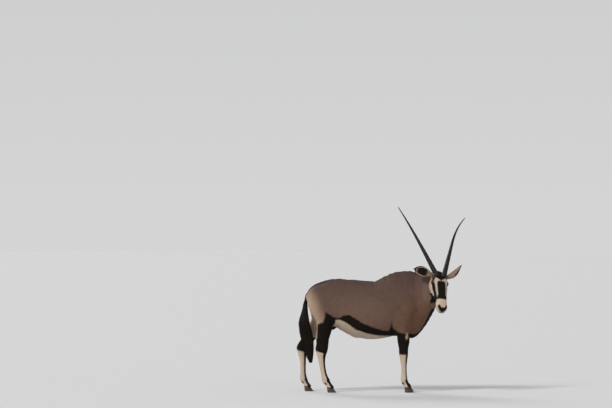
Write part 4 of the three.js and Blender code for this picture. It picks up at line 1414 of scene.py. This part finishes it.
def locks(name, at, way, length, thick, look, rng, droop, rows=5):
    """Tapering locks that start along their ways and sink under their own weight."""
    count = len(way)
    phase = rng.random(count) * 2 * math.pi
    n = at["n"]
    p, way = at["p"] - n * LOCK_DEPTH, unit(way)
    rings = []
    for i in range(rows):
        s = i / (rows - 1)
        side = unit(np.cross(way, n) + 1e-6)
        rings.append(lock_ring(p, side, np.cross(side, way), thick * (1 - s) ** 0.7 + 0.12))
        sway = side * (np.sin(phase + 5 * s) * LOCK_WAVE)[:, None]
        p = p + (way + sway) * (length / (rows - 1))[:, None]
        way = unit(way + [0, 0, -droop / rows])
    return lock_mesh(name, rings, at, look, rng)


def make_tail_tuft(skin, look, rng):
    """Long locks that leave the dock one below another and hang inside the tuft's outline."""
    count, rows, thick = 2600, 9, 2.6
    p = skin["p"]
    dock = (p[:, 0] < -560) & (p[:, 2] < 880) & (p[:, 2] > 760) & (np.abs(p[:, 1]) < 45)
    at = scatter(skin, dock.astype(float), count, rng)
    line = refine(TAIL_TUFT).astype(float)
    share = np.linspace(0, 1, len(line))
    start = rng.random(count) ** 1.3 * 0.78
    flare = rng.uniform(-0.25, 0.35, count)
    end = np.minimum(start + 0.2 + 0.3 * rng.random(count), 1.0)
    angle = np.arctan2(at["n"][:, 1], -at["n"][:, 0]) + rng.normal(0, 0.8, count)
    reach = np.sqrt(rng.uniform(0.15, 1.0, count)) * 1.02
    rings = []
    for i in range(rows):
        s = i / (rows - 1)
        level = np.clip(mix(start * s**0.5, end, s), 0, 1)
        middle = np.column_stack([np.interp(level, share, line[:, k]) for k in range(3)])
        wide, fore, aft = (np.interp(level, share, line[:, k]) for k in (3, 4, 5))
        turn = angle + 0.5 * s * np.sin(angle * 3 + start * 20)
        spread = reach * (1 + flare * s * s)
        c, n = np.cos(turn) * spread, np.sin(turn) * spread
        hang = middle + np.column_stack([-c * np.where(c > 0, aft, fore), n * wide, -10 * s * (1 - reach)])
        path = mix(at["p"] - at["n"] * TAIL_LOCK_DEPTH, hang, smooth(0, 0.28, s))
        rings.append(lock_ring(path, np.array([1, 0, 0]), np.array([0, -1, 0]), thick * (1 - s) ** 0.8 + 0.2))
    finish_piece(lock_mesh("tail_locks", rings, at, look, rng), "dark_coat", "tail_tuft")


def make_mane(skin, look, rng):
    """A short upright mane along the crest of the neck, and a line of longer hair along the back."""
    count = 3800
    p, n = skin["p"], skin["n"]
    neck = along_rows(NECK, p, side=None)
    q = to_head(p)
    crest = bell(neck["across"] / 13) * (neck["ahead"] > 0.6 * neck["row"][:, 4])
    crest *= (neck["row"][:, 0] > 380) & ~skin["ear"]
    poll = bell(q[:, 1] / 14) * (np.abs(q[:, 0] - 10) < 34) * (q[:, 2] > -70) * (q[:, 2] < 30)
    back = bell(p[:, 1] / 12) * (n[:, 2] > 0.5) * (p[:, 0] < 480) * (p[:, 2] > 1000) * 0.45
    at = scatter(skin, np.maximum.reduce([crest, 0.6 * poll, back]), count, rng)
    length = mix(14.0, 23.0, smooth(250, 460, at["p"][:, 0])) * smooth(420, 240, at["p"] @ FACING - 60)
    length = np.maximum(length, 13.0) * rng.uniform(0.8, 1.2, count)
    way = lie(at["p"], at["n"]) + at["n"] * rng.uniform(0.15, 0.5, count)[:, None]
    finish_piece(locks("mane", at, way, length, 0.9, look, rng, droop=0.25), "dark_coat")


def make_ear_fringe(skin, look, rng):
    """Long pale hairs inside the edges of each ear, and over its opening at the root."""
    count = 1300
    hollow, edge = skin["hollow"], skin["edge"]
    rim = (hollow > 0.12) & (hollow < 0.8) & (edge > 0.6) & (edge < 0.76)
    root = (hollow > 0.1) & (hollow < 0.3)
    at = scatter(skin, rim + 0.3 * root, count, rng)
    way = ear_lie(at["p"], at["n"]) + of_nearer_ear(at["p"], "opens") * 0.16 + at["n"] * 0.15
    length = rng.uniform(6, 14, count)
    finish_piece(locks("ear_fringe", at, way, length, 0.35, look, rng, droop=0.2), "pale_coat")


def make_lashes(look, rng):
    """A row of lashes along each upper lid."""
    count = 30
    share = np.linspace(-0.9, 0.9, count) + rng.normal(0, 0.02, count)
    for name, side in SIDES.items():
        axes = EYE_AXES * [1, side, 1]
        along = share * LID_OPEN["half_length"]
        up = LID_OPEN["half_height"] * (1 - share**2) + 0.5
        out = np.sqrt(LID_RADIUS**2 - along**2 - up**2)
        local = np.column_stack([along, up, out - 1])
        way = np.column_stack([share * 0.5, 0.35 + 0 * share, 1 + 0 * share])
        at = {
            "p": from_head(EYE_PLACE * [1, side, 1] + local @ axes),
            "n": (np.column_stack([0 * share, 1 + 0 * share, 0 * share]) @ axes) @ HEAD_AXES,
            "uv": np.column_stack([0.5 + 0.3 * share, 0.5 + 0 * share]),
        }
        length = 5 * (1 - 0.4 * share**2) * rng.uniform(0.6, 1.1, count)
        ways = (way @ axes) @ HEAD_AXES
        lashes = locks(f"lashes_{name}", at, ways, length, 0.3, look, rng, droop=0.6, rows=4)
        finish_piece(lashes, "dark_coat")


# Studio
CAMERA = {"x": -584.0, "away": 30000.0, "height": 1861.0, "lens": 178.25, "sensor": 36.0}


def make_camera():
    data = bpy.data.cameras.new("camera")
    data.sensor_width = CAMERA["sensor"]
    data.lens = CAMERA["lens"]
    data.clip_end = 200
    camera = add_object("camera", data)
    camera.location = ((CAMERA["x"] + FRAME_SHIFT[0]) * MM, -CAMERA["away"] * MM, CAMERA["height"] * MM)
    camera.rotation_euler = (math.radians(90), 0, 0)
    bpy.context.scene.camera = camera


SUNS = {
    "key": {"way": (0.85, 0.8, -0.95), "strength": 2.1, "angle": 14.0},
    "fill": {"way": (-0.9, 0.8, -0.35), "strength": 0.3, "angle": 50.0},
    "rim": {"way": (0.5, -0.9, -0.7), "strength": 1.1, "angle": 24.0},
}
SKY = {"horizon": (0.66, 0.66, 0.66), "above": (0.40, 0.41, 0.43), "height": 0.45}


def make_lights():
    for name, light in SUNS.items():
        data = bpy.data.lights.new(name, "SUN")
        data.energy = light["strength"]
        data.angle = math.radians(light["angle"])
        lamp = add_object(name, data)
        lamp.rotation_euler = mathutils.Vector(light["way"]).to_track_quat("-Z", "Y").to_euler()


def make_sky():
    """A plain pale studio all round, a little darker overhead."""
    sky = Nodes(bpy.data.worlds.new("studio"))
    up = sky.add("SeparateXYZ", {0: sky.add("TexCoord", output="Generated")}, output="Z")
    share = sky.add("MapRange", {"Value": up, "From Max": SKY["height"]})
    sky.put(sky.tree.nodes["Background"].inputs["Color"], sky.blend(share, SKY["horizon"], SKY["above"]))
    bpy.context.scene.world = sky.owner
    bpy.context.scene.view_settings.view_transform = "Standard"


def make_floor():
    corners, radius = 96, 90000
    turn = np.linspace(0, 2 * math.pi, corners, endpoint=False)
    rim = np.column_stack([np.cos(turn), np.sin(turn), 0 * turn]) * radius
    floor = add_mesh("floor", rim, np.arange(corners)[None], look=floor_material())


def build():
    make_camera()
    make_lights()
    make_sky()
    make_floor()
    rng = np.random.default_rng(SEED)
    skin = make_skin()
    make_fur(skin, rng)
    make_eyes(eye_material())
    make_horns(horn_material())
    make_hooves(hoof_material())
    dark_hair = hair_material("dark_hair", BLACK_FUR, BROWN_FUR)
    make_tail_tuft(skin, dark_hair, rng)
    make_mane(skin, dark_hair, rng)
    make_lashes(dark_hair, rng)
    make_ear_fringe(skin, hair_material("ear_hair", PALE_FUR, WHITE_FUR), rng)


build()
